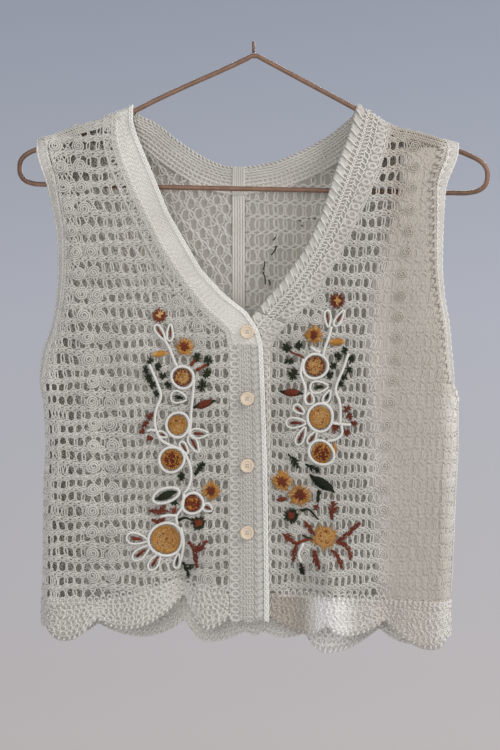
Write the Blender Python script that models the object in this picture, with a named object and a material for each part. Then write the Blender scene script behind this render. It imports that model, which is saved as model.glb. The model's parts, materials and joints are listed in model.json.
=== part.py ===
# A sleeveless openwork waistcoat with embroidered fronts, hanging on a wire hanger.
#
# Metres, +Z up. The origin is where a peg bears inside the hanger's hook, +X runs to the
# wearer's left and -Y is the garment's front. Sizes below are millimetres; a "drop" is a
# distance down from the origin. "right" and "left" are the wearer's.
#
# Every piece of cloth is cut from one hollow form. A place on the form is given by a side, a
# face (front or back), the distance along the cloth from the middle, and a drop. Near the side
# the cloth rolls round to the other face, and at the shoulder it curls over the hanger's wire.

import math

import bmesh
import bpy
from mathutils import Matrix, Vector
from mathutils.bvhtree import BVHTree

MM = 0.001

RIGHT, LEFT = -1, 1
FRONT, BACK = -1, 1

SEAM_GAP = 0.3          # clearance between two pieces that are sewn together
SEAT_GAP = 0.70         # clearance under what is sewn on top of a panel
PANEL_WALL = 2.0        # openwork of the fronts and the back, and the scalloped edge
BAND_WALL = 3.0         # dense bands at the neck, the opening and the armholes

WIRE_RADIUS = 2.3
SHOULDER_CURL = 4.5     # radius of the cloth's middle where it turns over the wire
SHOULDER_EASE = 70.0    # how far below the shoulder the form takes to reach its full depth

SIDE_ROLL = 15.0        # width in which the cloth turns round to the side seam
ARM_ROLL_ANGLE = math.radians(52)   # how far it has turned where an armhole cuts it
UNDERARM = 320.0        # drop of the armhole's lowest point
ARM_CURVE = 18.0        # height of the armhole's round end
ARM_HALF_GAP = 10.0     # half the armhole's width, front edge to middle
ARM_BAND = 9.0          # width of the armhole band

UNDERLAP = 3.8          # how far the left front lies behind the right one at the opening
UNDERLAP_FROM = 14.0
UNDERLAP_TO = 44.0

FRONT_COLUMNS = 11      # flat columns of a front, before the rolled ones
ROLL_COLUMNS = 3
FRONT_REACH = 60.0      # how far down the rows still follow the shoulder's line
BACK_REACH = 130.0
SHOULDER_END = 95         # drop at which the shoulder meets the armhole

# Half widths of the hanging form, seam to middle.
OUTLINE = [  # drop, right, left
    (50, 204, 192.5), (98, 203, 192), (139, 191, 179), (181, 183, 176.5), (209, 182, 176),
    (237, 183.5, 178), (265, 188, 182.5), (293, 197, 185), (320, 199.5, 188), (336, 196, 191),
    (377, 194, 191), (418, 196, 189), (488, 196.5, 186), (530, 198, 184), (585, 197, 184)]

# Half depths of the form, away from the shoulders and the sides.
DEPTH = [  # drop, front, back
    (50, 11, 9), (120, 15, 13), (200, 19, 16), (300, 22, 19), (400, 22, 20), (585, 23, 21)]

SHOULDER_RIGHT = [  # x, drop of the ridge
    (-206, 94.5), (-198, 88.5), (-189, 85.7), (-177, 81), (-165, 76.5), (-148, 72), (-129, 64.5),
    (-113.5, 58), (-106, 55)]
SHOULDER_LEFT = [  # x, drop of the ridge
    (90, 53), (97.5, 56.5), (109, 63.2), (119.5, 70), (128, 76), (136, 79), (148, 81), (160, 84.2),
    (176, 89), (194, 95)]

# Long soft folds; a positive push stands outward.
FOLDS = [  # face, x at top, x at bottom, top drop, bottom drop, width, push
    (FRONT, -160, -153, 230, 440, 11, 2.0),
    (FRONT, -138, -134, 240, 450, 11, -2.5),
    (FRONT, -68, -67, 452, 580, 13, -9.0),
    (FRONT, -104, -112, 470, 580, 22, 3.0),
    (FRONT, 128, 118, 130, 420, 20, -3.0),
    (FRONT, 40, 38, 460, 580, 15, -7.0),
    (FRONT, 72, 75, 460, 580, 11, 7.0),
    (FRONT, 124, 122, 500, 580, 12, -4.0),
    (BACK, -120, -128, 240, 520, 16, -3.0),
    (BACK, -72, -64, 360, 580, 16, 3.5),
    (BACK, 52, 66, 380, 580, 16, 4.0),
    (BACK, 116, 122, 220, 580, 15, -4.0)]

# Neckbands, from the shoulder down: the free edge and the line where the panel is joined.
# A drop under FROM_RIDGE is measured down from the shoulder's ridge.
FROM_RIDGE = 40
NECK_RIGHT = [  # edge x, edge drop, seam x, seam drop
    (-113.5, 0, -131, 0), (-113.6, 74, -131.5, 84), (-109.5, 88, -130, 98),
    (-102.2, 105, -125.5, 113), (-91.6, 130.7, -115.5, 138), (-79.5, 160.7, -100, 169),
    (-65.6, 185, -86, 196), (-48.3, 214.8, -67.5, 223.5), (-27.4, 237.1, -47.4, 250.6),
    (-6, 253.8, -34, 262)]
NECK_LEFT = [  # edge x, edge drop, seam x, seam drop
    (97.5, 0, 126, 0), (88.5, 88, 123.5, 95), (79.5, 111, 116, 119), (69.3, 143.7, 101.5, 153),
    (61.5, 166.9, 89, 178.5), (50.7, 189.7, 77, 201.5), (38.3, 208.3, 65, 222),
    (26, 225.5, 52, 240.5), (12.1, 240.8, 40, 253), (2.9, 251.7, 29, 263.5)]
PLACKET_TOP = [  # edge x, edge drop, seam x, seam drop
    (-6, 254.2, -34, 262.4), (4.2, 269.6, -24, 271.5), (7.9, 284, -22, 284), (10, 332, -22, 332),
    (11.6, 384, -22, 384), (12.6, 436, -22, 436), (13.3, 488, -22, 488), (13.5, 514, -22, 514),
    (13.5, 541, -22, 539)]
PLACKET_UNDER = [  # edge x, edge drop, seam x, seam drop
    (2.9, 252.1, 29, 263.9), (-6, 262.2, 20.5, 273), (-16, 279, 15.3, 284), (-18, 332, 15.3, 332),
    (-18, 384, 15.3, 384), (-18, 436, 15.3, 436), (-18, 488, 15.3, 488), (-18, 514, 15.3, 514),
    (-18, 538, 15.3, 536)]
NECK_BACK = [  # edge x, edge drop, seam x, seam drop
    (-113.5, 0, -131, 0), (-108, 66.5, -125.5, 84), (-100, 69.2, -115, 90.5),
    (-89.5, 74.5, -104, 97.5), (-74.2, 86.9, -88.5, 110), (-59.5, 97.3, -72.5, 121),
    (-44.3, 106.4, -55, 131.5), (-29, 112.6, -35.5, 138.8), (-19.7, 114, -19.7, 141),
    (-8.7, 113.8, -8.7, 140.8), (5, 112, 7, 138.7), (19.5, 109.4, 24, 136),
    (42.4, 100.2, 52.5, 125.3), (57.6, 92.6, 69, 117), (72.8, 83.6, 86, 107),
    (88, 71.6, 103.5, 94), (94, 66.5, 118, 87), (97.5, 0, 126, 0)]
BACK_BAND_RIGHT_X = -19.7
BACK_BAND_LEFT_X = -8.7
BACK_BAND_TOP = 141.4

# Rows of a panel, hem to shoulder. At the side they end at the side seam, then round the
# armhole's lower end, then up its edge; the last ones curl over the shoulder.
CURL_DROPS = [8, SHOULDER_CURL, SHOULDER_CURL * (1 - math.cos(math.radians(45))), 0]
ARM_TURNS = [90, 66, 44, 22, 0]
BELOW_ARM = [521, 495, 468, 441, 414, 388, 364, 346]
BESIDE_ARM = [275, 240, 205, 172, 140, 117]
SIDE_ROWS = ([("seam", drop) for drop in BELOW_ARM]
             + [("turn", math.radians(turn)) for turn in ARM_TURNS]
             + [("edge", drop) for drop in BESIDE_ARM] + [("ridge", drop) for drop in CURL_DROPS])
# Where the same rows start, at the placket below the neckband, or at the middle of the back.
OPENING_DROPS = [514, 486, 458, 430, 402, 374, 344, 314, 284]
BACK_MIDDLE_DROPS = [522, 497, 471, 446, 420, 395, 370, 351, 338, 334, 328, 318, 304, 280, 254,
                     228, 204, 182, 164]
BACK_SHOULDER_COLUMNS = [150, 169]   # columns of a back panel beyond the neckband

HEM_SEAM_FRONT = [  # x, drop where the scalloped edge is joined on
    (-202, 521), (-146, 520), (-110, 513), (-72, 500), (-60, 505), (-40, 511), (-20.9, 514),
    (15, 514), (70, 516), (130, 520), (192, 522)]
HEM_SEAM_BACK = [(-202, 524), (0, 522), (192, 524)]  # x, drop

# Scallops: each starts at a notch and is lowest at its low point.
SCALLOPS_RIGHT = [  # notch x, notch drop, low x, low drop
    (-196.5, 545, -175, 558), (-146, 537, -118, 547), (-64, 514, -43.5, 548)]
SCALLOPS_RIGHT_END = (-21, 533)
SCALLOPS_LEFT = [  # notch x, notch drop, low x, low drop
    (15.5, 537, 50, 552.5), (67, 543, 86, 553.5), (122.5, 539, 166, 566.5)]
SCALLOPS_LEFT_END = (185, 556)
SCALLOPS_BACK = [  # notch x, notch drop, low x, low drop
    (-197.5, 548, -176, 560), (-148, 548, -106, 561), (-65, 545, -44.5, 566),
    (-8, 556, 1.8, 559.5), (10, 555.5, 31, 562), (48.5, 557.5, 68.6, 577),
    (119.5, 552, 151, 568)]
SCALLOPS_BACK_END = (185, 555)
HEM_MIDDLE = 550.0

BUTTON_X = -6.0
BUTTON_FIRST = 271.5
BUTTON_PITCH = 62.0
BUTTON_COUNT = 4
BUTTON_RADIUS = 6.5
BUTTON_THICKNESS = 2.6
BUTTON_DISH = 0.7
BUTTON_HOLE = 0.75
BUTTON_HOLE_SPREAD = 1.5

# Raised flowers: worked pads, some inside a ring of couched cord.
FLOWER_HEIGHT = 1.2
CORD_RADIUS = 1.3
FLOWERS_RIGHT = [  # name, x, drop, radius, petals, ring radius (0 for none)
    ("rust_bud", -87, 256.7, 6.8, 9, 0), ("mustard_bud", -64.5, 285.8, 8.6, 8, 0),
    ("ring_a", -66.6, 313.5, 7.6, 0, 10.2), ("ring_b", -70.2, 358, 8.4, 0, 11.0),
    ("ring_c", -75.8, 389.8, 9.4, 0, 11.8), ("ring_d", -56.6, 430.4, 7.0, 0, 9.8),
    ("ring_e", -81.4, 463.6, 12.6, 0, 15.4), ("mustard_star", -38.4, 418.6, 8.4, 12, 0),
    ("green_star", -50.7, 450.2, 6.8, 8, 0)]
FLOWERS_LEFT = [  # name, x, drop, radius, petals, ring radius (0 for none)
    ("rust_star", 77.7, 242.7, 7.4, 10, 0), ("mustard_bud", 55.3, 275.2, 8.4, 8, 0),
    ("ring_a", 57.2, 304, 8.6, 0, 11.4), ("ring_b", 61.6, 350.6, 9.4, 0, 12.2),
    ("ring_c", 62.8, 382.9, 8.6, 0, 11.2), ("mustard_star", 27.4, 409, 9.8, 12, 0),
    ("rim_flower", 42.6, 423, 10.6, 10, 0), ("green_star", 35.2, 442.8, 7.2, 8, 0),
    ("sun_flower", 66, 461.2, 11.6, 12, 0)]
STEM_RIGHT = [(-96.2, 301.5), (-88, 318), (-86, 330), (-88.8, 345), (-88.5, 362)]  # x, drop
STEM_LEFT = [(87.2, 291.5), (81, 305), (77.7, 318), (80.5, 335), (80.6, 351)]      # x, drop

# The hanger's wire, round from its peak: down the right arm, along the bar, up the left arm.
WIRE_ROUTE = [  # x, drop
    (-2.2, 11.3), (-7.5, 14.4), (-28, 24), (-50.4, 33.9), (-72, 43.6), (-92.7, 53.3),
    (-110.2, 62.2), (-135, 73.4), (-149, 79), (-172.7, 87.6), (-204.3, 99.4), (-212.2, 103),
    (-216.6, 106.4), (-219.4, 111), (-220, 116.7), (-219.4, 122.3), (-216.4, 127),
    (-212.2, 129.8), (-206.6, 131.4), (-197.2, 132.1), (-140, 133.4), (-60, 135.2), (60, 137.6),
    (140, 139.3), (189.6, 140.2), (202, 140), (211.8, 137.8), (217.6, 133.2), (220.1, 126.4),
    (219.8, 119.4), (216.8, 113.4), (211.3, 108.9), (203.8, 105.2), (191.8, 100.4),
    (166.1, 93), (145.4, 87.2), (128.5, 81.8), (113.4, 71.6), (97.4, 61.8), (72, 48),
    (43.8, 32.9), (24, 22.2), (9.4, 14.4), (4, 11.3)]
WIRE_STEP = 9.0
HOOK_WIRE = 1.4
HOOK_INNER = 3.1
HOOK_START = math.radians(-90)
HOOK_SWEEP = math.radians(-250)
HOOK_POINTS = 20

CREAM = (0.74, 0.70, 0.62, 1)
IVORY = (0.78, 0.75, 0.67, 1)
PEACH = (0.78, 0.63, 0.44, 1)
COPPER = (0.34, 0.19, 0.13, 1)
MUSTARD = (0.62, 0.32, 0.05, 1)
RUST = (0.26, 0.06, 0.02, 1)
GREEN = (0.03, 0.07, 0.035, 1)


def smooth_curve(points):
    """A curve through (at, value) pairs that never overshoots between them."""
    ats = [p[0] for p in points]
    values = [p[1] for p in points]
    slopes = [(values[i + 1] - values[i]) / (ats[i + 1] - ats[i]) for i in range(len(points) - 1)]
    tangents = [slopes[0]]
    for before, after in zip(slopes, slopes[1:]):
        tangents.append(0.0 if before * after <= 0 else 2 * before * after / (before + after))
    tangents.append(slopes[-1])

    def value(at):
        at = min(max(at, ats[0]), ats[-1])
        i = next((k for k in range(len(ats) - 2) if at <= ats[k + 1]), len(ats) - 2)
        span = ats[i + 1] - ats[i]
        t = (at - ats[i]) / span
        return (values[i] * (1 + 2 * t) * (1 - t) ** 2 + values[i + 1] * t * t * (3 - 2 * t)
                + span * (tangents[i] * t * (1 - t) ** 2 - tangents[i + 1] * t * t * (1 - t)))
    return value


def column(rows, key, value):
    return [(row[key], row[value]) for row in rows]


half_width = {RIGHT: smooth_curve(column(OUTLINE, 0, 1)), LEFT: smooth_curve(column(OUTLINE, 0, 2))}
half_depth = {FRONT: smooth_curve(column(DEPTH, 0, 1)), BACK: smooth_curve(column(DEPTH, 0, 2))}
shoulder_ridge = {RIGHT: smooth_curve(SHOULDER_RIGHT), LEFT: smooth_curve(SHOULDER_LEFT)}
hem_seam = {FRONT: smooth_curve(HEM_SEAM_FRONT), BACK: smooth_curve(HEM_SEAM_BACK)}


def ease(t):
    t = min(max(t, 0.0), 1.0)
    return t * t * (3 - 2 * t)


def ridge_drop(x):
    """Drop of the shoulder's top; across the neck it is far above the cloth."""
    if x <= SHOULDER_RIGHT[-1][0]:
        return shoulder_ridge[RIGHT](x)
    if x >= SHOULDER_LEFT[0][0]:
        return shoulder_ridge[LEFT](x)
    t = (x - SHOULDER_RIGHT[-1][0]) / (SHOULDER_LEFT[0][0] - SHOULDER_RIGHT[-1][0])
    middle_rise = 60 * math.sin(math.pi * t)
    return SHOULDER_RIGHT[-1][1] * (1 - t) + SHOULDER_LEFT[0][1] * t - middle_rise


def flat_depth(face, x, drop):
    """Distance of the flat part of a face from the middle plane."""
    below = max(drop - ridge_drop(x), 0.0)
    if below < SHOULDER_CURL:
        return math.sqrt(SHOULDER_CURL ** 2 - (SHOULDER_CURL - below) ** 2)
    t = min((below - SHOULDER_CURL) / SHOULDER_EASE, 1.0)
    return SHOULDER_CURL + (half_depth[face](drop) - SHOULDER_CURL) * (1 - (1 - t) ** 2)


def arm_fraction(drop):
    """1 beside the armhole, falling to 0 round its lower end."""
    t = (drop - (UNDERARM - ARM_CURVE)) / ARM_CURVE
    return math.sqrt(max(0.0, 1 - max(t, 0.0) ** 2)) if t < 1 else 0.0


def edge_share(side, face, drop):
    """Depth that is left where the face ends, as a share of its flat depth: 0 at the seam."""
    flat = flat_depth(face, side * half_width[side](drop), drop)
    return min(ARM_HALF_GAP / max(flat, 1.0), 0.92) * arm_fraction(drop)


def edge_depth(side, face, drop):
    return edge_share(side, face, drop) * flat_depth(face, side * half_width[side](drop), drop)


def roll(side, face, drop):
    """Where the flat part ends, then the roll's length along the cloth and its angle."""
    width = half_width[side](drop)
    flat = flat_depth(face, side * width, drop)
    angle = math.pi / 2 + (ARM_ROLL_ANGLE - math.pi / 2) * arm_fraction(drop)
    across = SIDE_ROLL / math.sin(angle)
    deep = flat * (1 - edge_share(side, face, drop)) / (1 - math.cos(angle))
    return width - SIDE_ROLL, angle * math.sqrt((across ** 2 + deep ** 2) / 2), angle


def edge_along(side, face, drop):
    """Distance along the cloth from the middle to the side seam or the armhole."""
    flat, length, _ = roll(side, face, drop)
    return flat + length


def fold_push(face, x, drop):
    push = 0.0
    for fold_face, x_top, x_bottom, top, bottom, width, height in FOLDS:
        t = (drop - top) / (bottom - top)
        if fold_face != face or t <= 0:
            continue
        fade = ease(t / 0.35) * ease((1 - t) / 0.2 if bottom < 570 else 1)
        middle = x_top + (x_bottom - x_top) * min(t, 1)
        push += height * fade * math.exp(-((x - middle) / width) ** 2)
    return push


def form_point(side, face, along, drop):
    """A point on the middle of the cloth, in millimetres."""
    flat, length, angle = roll(side, face, drop)
    if along <= flat:
        x = side * along
        depth = flat_depth(face, x, drop)
        turn = 0.0
    else:
        turn = angle * min((along - flat) / length, 1.0)
        x = side * (flat + SIDE_ROLL * math.sin(turn) / math.sin(angle))
        share = edge_share(side, face, drop)
        fall = (math.cos(turn) - math.cos(angle)) / (1 - math.cos(angle))
        depth = flat_depth(face, x, drop) * (share + (1 - share) * fall)
    depth += fold_push(face, x, drop) * math.cos(turn) ** 2 * min(depth / 12, 1)
    if face == FRONT and side == LEFT:
        depth -= UNDERLAP * ease((UNDERLAP_TO - x) / (UNDERLAP_TO - UNDERLAP_FROM))
    return Vector((x, face * depth, -drop))


def form_normal(side, face, along, drop):
    """The outward direction there."""
    step = 0.4
    limit = edge_along(side, face, drop)
    near = form_point(side, face, min(along, limit) - step, drop)
    far = form_point(side, face, min(along, limit - 0.01), drop)
    above = form_point(side, face, along, drop)
    below = form_point(side, face, along, drop + 0.05)
    normal = (far - near).cross(below - above)
    normal.normalize()
    return normal * (side * -face)


def place(side, face, along, drop):
    return form_point(side, face, along, drop), form_normal(side, face, along, drop)


def top_drop(x):
    """Drop of a piece's top edge at the shoulder seam, half a seam gap from the ridge."""
    half = SEAM_GAP / 2
    return ridge_drop(x) + SHOULDER_CURL - math.sqrt(SHOULDER_CURL ** 2 - half ** 2)


def material(name, colour, roughness=0.85, metallic=0.0):
    made = bpy.data.materials.new(name)
    made.use_nodes = True
    shader = made.node_tree.nodes["Principled BSDF"]
    shader.inputs["Base Color"].default_value = colour
    shader.inputs["Roughness"].default_value = roughness
    shader.inputs["Metallic"].default_value = metallic
    made.diffuse_color = colour
    return made


def add_object(name, vertices, faces, colour, roughness=0.85, metallic=0.0, smooth=True):
    mesh = bpy.data.meshes.new(name)
    mesh.from_pydata([Vector(v) * MM for v in vertices], [], faces)
    mesh.validate()
    if smooth:
        mesh.shade_smooth()
        mesh.set_sharp_from_angle(angle=math.radians(50))
    mesh.materials.append(material(name, colour, roughness, metallic))
    made = bpy.data.objects.new(name, mesh)
    bpy.context.scene.collection.objects.link(made)
    return made


def wall(name, grid, thickness, colour, ring=False):
    """A cloth wall from rows of (point, normal), closed into a ring of rows if asked."""
    rows, columns = len(grid), len(grid[0])
    outer = [p + n * thickness / 2 for row in grid for p, n in row]
    inner = [p - n * thickness / 2 for row in grid for p, n in row]
    offset = len(outer)

    def at(row, col):
        return (row % rows) * columns + col

    faces = []
    for row in range(rows if ring else rows - 1):
        for col in range(columns - 1):
            a, b, c, d = at(row, col), at(row, col + 1), at(row + 1, col + 1), at(row + 1, col)
            faces += [(a, b, c), (a, c, d)]
            faces += [(a + offset, c + offset, b + offset), (a + offset, d + offset, c + offset)]
        for col, flip in ((0, False), (columns - 1, True)):
            a, b = at(row, col), at(row + 1, col)
            edge = [(a, b, b + offset), (a, b + offset, a + offset)]
            faces += [tuple(reversed(f)) for f in edge] if flip else edge
    if not ring:
        for row, flip in ((0, True), (rows - 1, False)):
            for col in range(columns - 1):
                a, b = at(row, col), at(row, col + 1)
                edge = [(a, b, b + offset), (a, b + offset, a + offset)]
                faces += [tuple(reversed(f)) for f in edge] if flip else edge
    made = add_object(name, outer + inner, faces, colour)
    face_outward(made)
    return made


def face_outward(made):
    """Turns the faces of a closed mesh outward if they all point in."""
    shape = bmesh.new()
    shape.from_mesh(made.data)
    if shape.calc_volume(signed=True) < 0:
        bmesh.ops.reverse_faces(shape, faces=shape.faces)
    shape.to_mesh(made.data)
    shape.free()


def side_end(side, face, kind, value, grow):
    """Distance and drop where a row ends: at the side seam, or grow away from the armhole."""
    if kind == "seam":
        return edge_along(side, face, value) - SEAM_GAP / 2, value
    if kind == "edge":
        return edge_along(side, face, value) - grow, value
    if kind == "turn":
        start = UNDERARM - ARM_CURVE
        across = (edge_depth(side, face, start) + grow) * math.cos(value)
        drop = start + (ARM_CURVE + grow) * math.sin(value)
        inset = max(across - edge_depth(side, face, drop), SEAM_GAP / 2 if grow else 0)
        return edge_along(side, face, drop) - inset, drop
    near = ridge_drop(side * half_width[side](SHOULDER_END)) + value
    along = edge_along(side, face, near) - grow
    x = form_point(side, face, along, near).x
    return along, top_drop(x) + value


def panel_row(side, face, inner, outer, columns, top_line, reach):
    """One row of a panel: flat columns by their shares of the way, then rolled ones."""
    x_in, drop_in = inner
    top_in = top_line(x_in)
    below_top = drop_in if drop_in < FROM_RIDGE else None
    drop_in = top_in + drop_in if drop_in < FROM_RIDGE else drop_in
    end, drop_out = side_end(side, face, *outer, ARM_BAND + SEAM_GAP)
    start = side * x_in
    bend = min(roll(side, face, drop_out)[0], end - 2)
    alongs = [start + (bend - start) * share for share in columns]
    alongs += [bend + (end - bend) * (i + 1) / ROLL_COLUMNS for i in range(ROLL_COLUMNS)]
    top_out = top_line(side * half_width[side](SHOULDER_END))
    near_top = max(0.0, 1 - (drop_in - top_in - CURL_DROPS[0]) / reach) ** 2
    row = []
    for along in alongs:
        share = (along - start) / (end - start)
        x = form_point(side, face, along, drop_out).x
        if below_top is not None:
            drop = top_line(x) + below_top
        else:
            chord = top_in + (top_out - top_in) * share
            drop = drop_in + (drop_out - drop_in) * share + near_top * (top_line(x) - chord)
        row.append((along, drop))
    row[-1] = (end, drop_out)
    return row


def panel(name, side, face, inner_line, columns, top_line, reach):
    """Gives the finished panel and its lower edge, as (signed distance along, point, normal)."""
    rows = [panel_row(side, face, inner, outer, columns, top_line, reach)
            for inner, outer in zip(inner_line, SIDE_ROWS, strict=True)]
    rows[0] = [(along, hem_seam[face](side * along)) for along, _ in rows[0]]
    grid = [[place(side, face, along, drop) for along, drop in row] for row in rows]
    lower_edge = [(side * along, *spot) for (along, _), spot in zip(rows[0], grid[0])]
    return wall(name, grid, PANEL_WALL, CREAM), lower_edge


def with_curl(stations):
    """Adds the rows that turn over the shoulder at each end of a table that lies on its ridge."""
    def curled(on_ridge, following):
        rows = []
        for drop in reversed(CURL_DROPS):
            row = []
            for k in (0, 2):
                start, stop = on_ridge[k], following[k]
                share = drop / (following[k + 1] - ridge_drop(start))
                row += [start + (stop - start) * share, drop]
            rows.append(tuple(row))
        return rows

    stations = list(stations)
    if stations[-1][1] < FROM_RIDGE:
        stations = stations[:-1] + list(reversed(curled(stations[-1], stations[-2])))
    return curled(stations[0], stations[1]) + stations[1:]


def resolve(x, drop):
    return top_drop(x) + drop if drop < FROM_RIDGE else drop


def band(name, side_of, face, stations, columns, thickness=BAND_WALL, colour=IVORY):
    """A strip from its free edge to its seam line; side_of gives the side for an x."""
    grid = []
    for edge_x, edge_drop, seam_x, seam_drop in stations:
        start = Vector((edge_x, resolve(edge_x, edge_drop)))
        stop = Vector((seam_x, resolve(seam_x, seam_drop)))
        row = []
        for i in range(columns + 1):
            x, drop = start.lerp(stop, i / columns)
            if edge_drop < FROM_RIDGE:
                drop = top_drop(x) + edge_drop
            side = side_of(x)
            row.append(place(side, face, side * x, drop))
        grid.append(row)
    return wall(name, grid, thickness, colour)


def joined(stations, gap):
    """The band's seam line, moved off the band by the gap."""
    seam = [Vector((x, resolve(x, drop))) for _, _, x, drop in stations]
    line = []
    for i, (edge_x, edge_drop, seam_x, seam_drop) in enumerate(stations):
        along = (seam[min(i + 1, len(seam) - 1)] - seam[max(i - 1, 0)]).normalized()
        away = Vector((along.y, -along.x))
        if away.dot(seam[i] - Vector((edge_x, resolve(edge_x, edge_drop)))) < 0:
            away = -away
        if seam_drop < FROM_RIDGE:
            slope = (ridge_drop(seam_x + 1) - ridge_drop(seam_x - 1)) / 2
            line.append((seam_x + gap / (away.x + slope * away.y), seam_drop))
        else:
            line.append((seam_x + away.x * gap, seam_drop + away.y * gap))
    return line


def front_panel(name, side, neck, placket):
    """A front: its inner line follows the placket, then the neckband up to the shoulder."""
    seam_x = placket[-1][2] + side * SEAM_GAP
    inner_line = [(seam_x, drop) for drop in OPENING_DROPS]
    seam = joined(neck + placket[:3], SEAM_GAP)
    inner_line += [seam[len(neck) + 1]] + list(reversed(seam[:len(neck)]))
    columns = [i / FRONT_COLUMNS for i in range(FRONT_COLUMNS + 1)]
    return panel(name, side, FRONT, inner_line, columns, top_drop, FRONT_REACH)


def back_panel(name, side, middle_x):
    """Half of the back: its top follows the neckband, then the shoulder."""
    seam = joined(with_curl(NECK_BACK), SEAM_GAP * 1.5)
    seam = [spot for spot in seam if side * (spot[0] - middle_x) >= -0.1]
    seam = sorted(seam, key=lambda spot: side * spot[0])
    drops = [resolve(*spot) for spot in seam]

    def top_line(x):
        if side * x >= side * seam[-1][0]:
            return top_drop(x)
        i = max(k for k in range(len(seam) - 1) if side * x >= side * seam[k][0] or k == 0)
        share = (x - seam[i][0]) / (seam[i + 1][0] - seam[i][0])
        return drops[i] + (drops[i + 1] - drops[i]) * share

    start = side * middle_x
    bend = half_width[side](SHOULDER_END) - SIDE_ROLL
    marks = [side * x for x, _ in seam] + BACK_SHOULDER_COLUMNS + [bend]
    columns = [(mark - start) / (bend - start) for mark in marks]
    inner_line = [(middle_x, drop) for drop in BACK_MIDDLE_DROPS + CURL_DROPS]
    return panel(name, side, BACK, inner_line, columns, top_line, BACK_REACH)


def scallop_drop(scallops, end, x):
    """Drop of the scalloped edge at x: parabolas between notches."""
    notches = [(s[0], s[1]) for s in scallops] + [end]
    i = max(k for k in range(len(scallops)) if x >= notches[k][0] or k == 0)
    low_x, low = scallops[i][2], scallops[i][3]
    notch_x, notch = notches[i] if x < low_x else notches[i + 1]
    t = min((x - low_x) / (notch_x - low_x), 1.0)
    return low - (low - notch) * t * t


def scallop_places(scallops, end, ends, lower_edge):
    """Signed distances across the hem: the panel's own columns, the notches and low points."""
    first, last = sorted(ends)
    spots = [spot[0] for spot in lower_edge]
    spots += [row[0] for row in scallops] + [row[2] for row in scallops] + [end[0]]
    kept = [first]
    for spot in sorted(spots):
        if spot - kept[-1] > 1.5 and spot < last - 1.5:
            kept.append(spot)
    return kept + [last]


def below_edge(lower_edge, at):
    """A place on the panel's lower edge, moved down by the seam gap."""
    edge = sorted(lower_edge, key=lambda spot: spot[0])
    i = next((k for k in range(len(edge) - 2) if at <= edge[k + 1][0]), len(edge) - 2)
    share = (at - edge[i][0]) / (edge[i + 1][0] - edge[i][0])
    point = edge[i][1].lerp(edge[i + 1][1], share)
    normal = edge[i][2].lerp(edge[i + 1][2], share).normalized()
    return point - Vector((0, 0, SEAM_GAP)), normal


def hem(name, parts, lower_edge):
    """A scalloped edge under a panel; parts are (side, face, along, bottom drop) in order."""
    top_row = [below_edge(lower_edge, side * along) for side, _, along, _ in parts]
    grid = [top_row]
    for share in (0.5, 1.0):
        row = []
        for (point, _), (side, face, along, bottom) in zip(top_row, parts):
            row.append(place(side, face, along, -point.z + (bottom + point.z) * share))
        grid.append(row)
    return wall(name, grid, PANEL_WALL, IVORY)


def front_hem(name, side, scallops, end, placket_x, lower_edge):
    last = edge_along(side, FRONT, HEM_MIDDLE) - SEAM_GAP / 2
    ends = (placket_x + side * SEAM_GAP, side * last)
    spots = scallop_places(scallops, end, ends, lower_edge)
    parts = [(side, FRONT, side * spot, scallop_drop(scallops, end, spot)) for spot in spots]
    return hem(name, parts, lower_edge)


def back_hem(name, lower_edge):
    ends = [side * (edge_along(side, BACK, HEM_MIDDLE) - SEAM_GAP / 2) for side in (RIGHT, LEFT)]
    parts = []
    for spot in scallop_places(SCALLOPS_BACK, SCALLOPS_BACK_END, ends, lower_edge):
        side = RIGHT if spot < 0 else LEFT
        bottom = scallop_drop(SCALLOPS_BACK, SCALLOPS_BACK_END, spot)
        parts.append((side, BACK, side * spot, bottom))
    return hem(name, parts, lower_edge)


def armhole_band(name, side):
    """A ring: down the front edge of the armhole, round its end and up the back edge."""
    marks = list(reversed([row for row in SIDE_ROWS if row[0] != "seam"]))
    order = [(FRONT, *mark) for mark in marks] + [(BACK, *mark) for mark in reversed(marks[1:-1])]
    grid = []
    for face, kind, value in order:
        row = []
        for grow in (0, ARM_BAND / 2, ARM_BAND):
            along, drop = side_end(side, face, kind, value, grow)
            if kind == "ridge" and value == 0:
                x = form_point(side, face, along, drop).x
                row.append((Vector((x, 0, -ridge_drop(x))), Vector((0, 0, 1))))
            else:
                row.append(place(side, face, along, drop))
        grid.append(row)
    return wall(name, grid, BAND_WALL, IVORY, ring=True)


def tube(name, points, radius, colour, closed=False, roughness=0.85, metallic=0.0, resolution=1):
    """A round cord or wire along points given in millimetres."""
    curve = bpy.data.curves.new(name, "CURVE")
    curve.dimensions = "3D"
    curve.bevel_depth = radius * MM
    curve.bevel_resolution = resolution
    curve.use_fill_caps = True
    spline = curve.splines.new("POLY")
    spline.points.add(len(points) - 1)
    for slot, point in zip(spline.points, points):
        slot.co = (*(Vector(point) * MM), 1)
    spline.use_cyclic_u = closed
    curve.materials.append(material(name, colour, roughness, metallic))
    made = bpy.data.objects.new(name, curve)
    bpy.context.scene.collection.objects.link(made)
    return made


def smooth_route(points, step, closed=False):
    """Evenly stepped points on a smooth curve through the route's own points."""
    points = [Vector(p) for p in points]
    count = len(points)
    route = []
    for i in range(count if closed else count - 1):
        before = points[(i - 1) % count] if closed or i else points[0]
        start, stop = points[i], points[(i + 1) % count]
        after = points[(i + 2) % count] if closed or i + 2 < count else points[-1]
        pieces = max(1, round((stop - start).length / step))
        for k in range(pieces):
            t = k / pieces
            route.append(0.5 * (2 * start + (stop - before) * t
                                + (2 * before - 5 * start + 4 * stop - after) * t ** 2
                                + (3 * start - before - 3 * stop + after) * t ** 3))
    return route if closed else route + [points[-1]]


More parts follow.
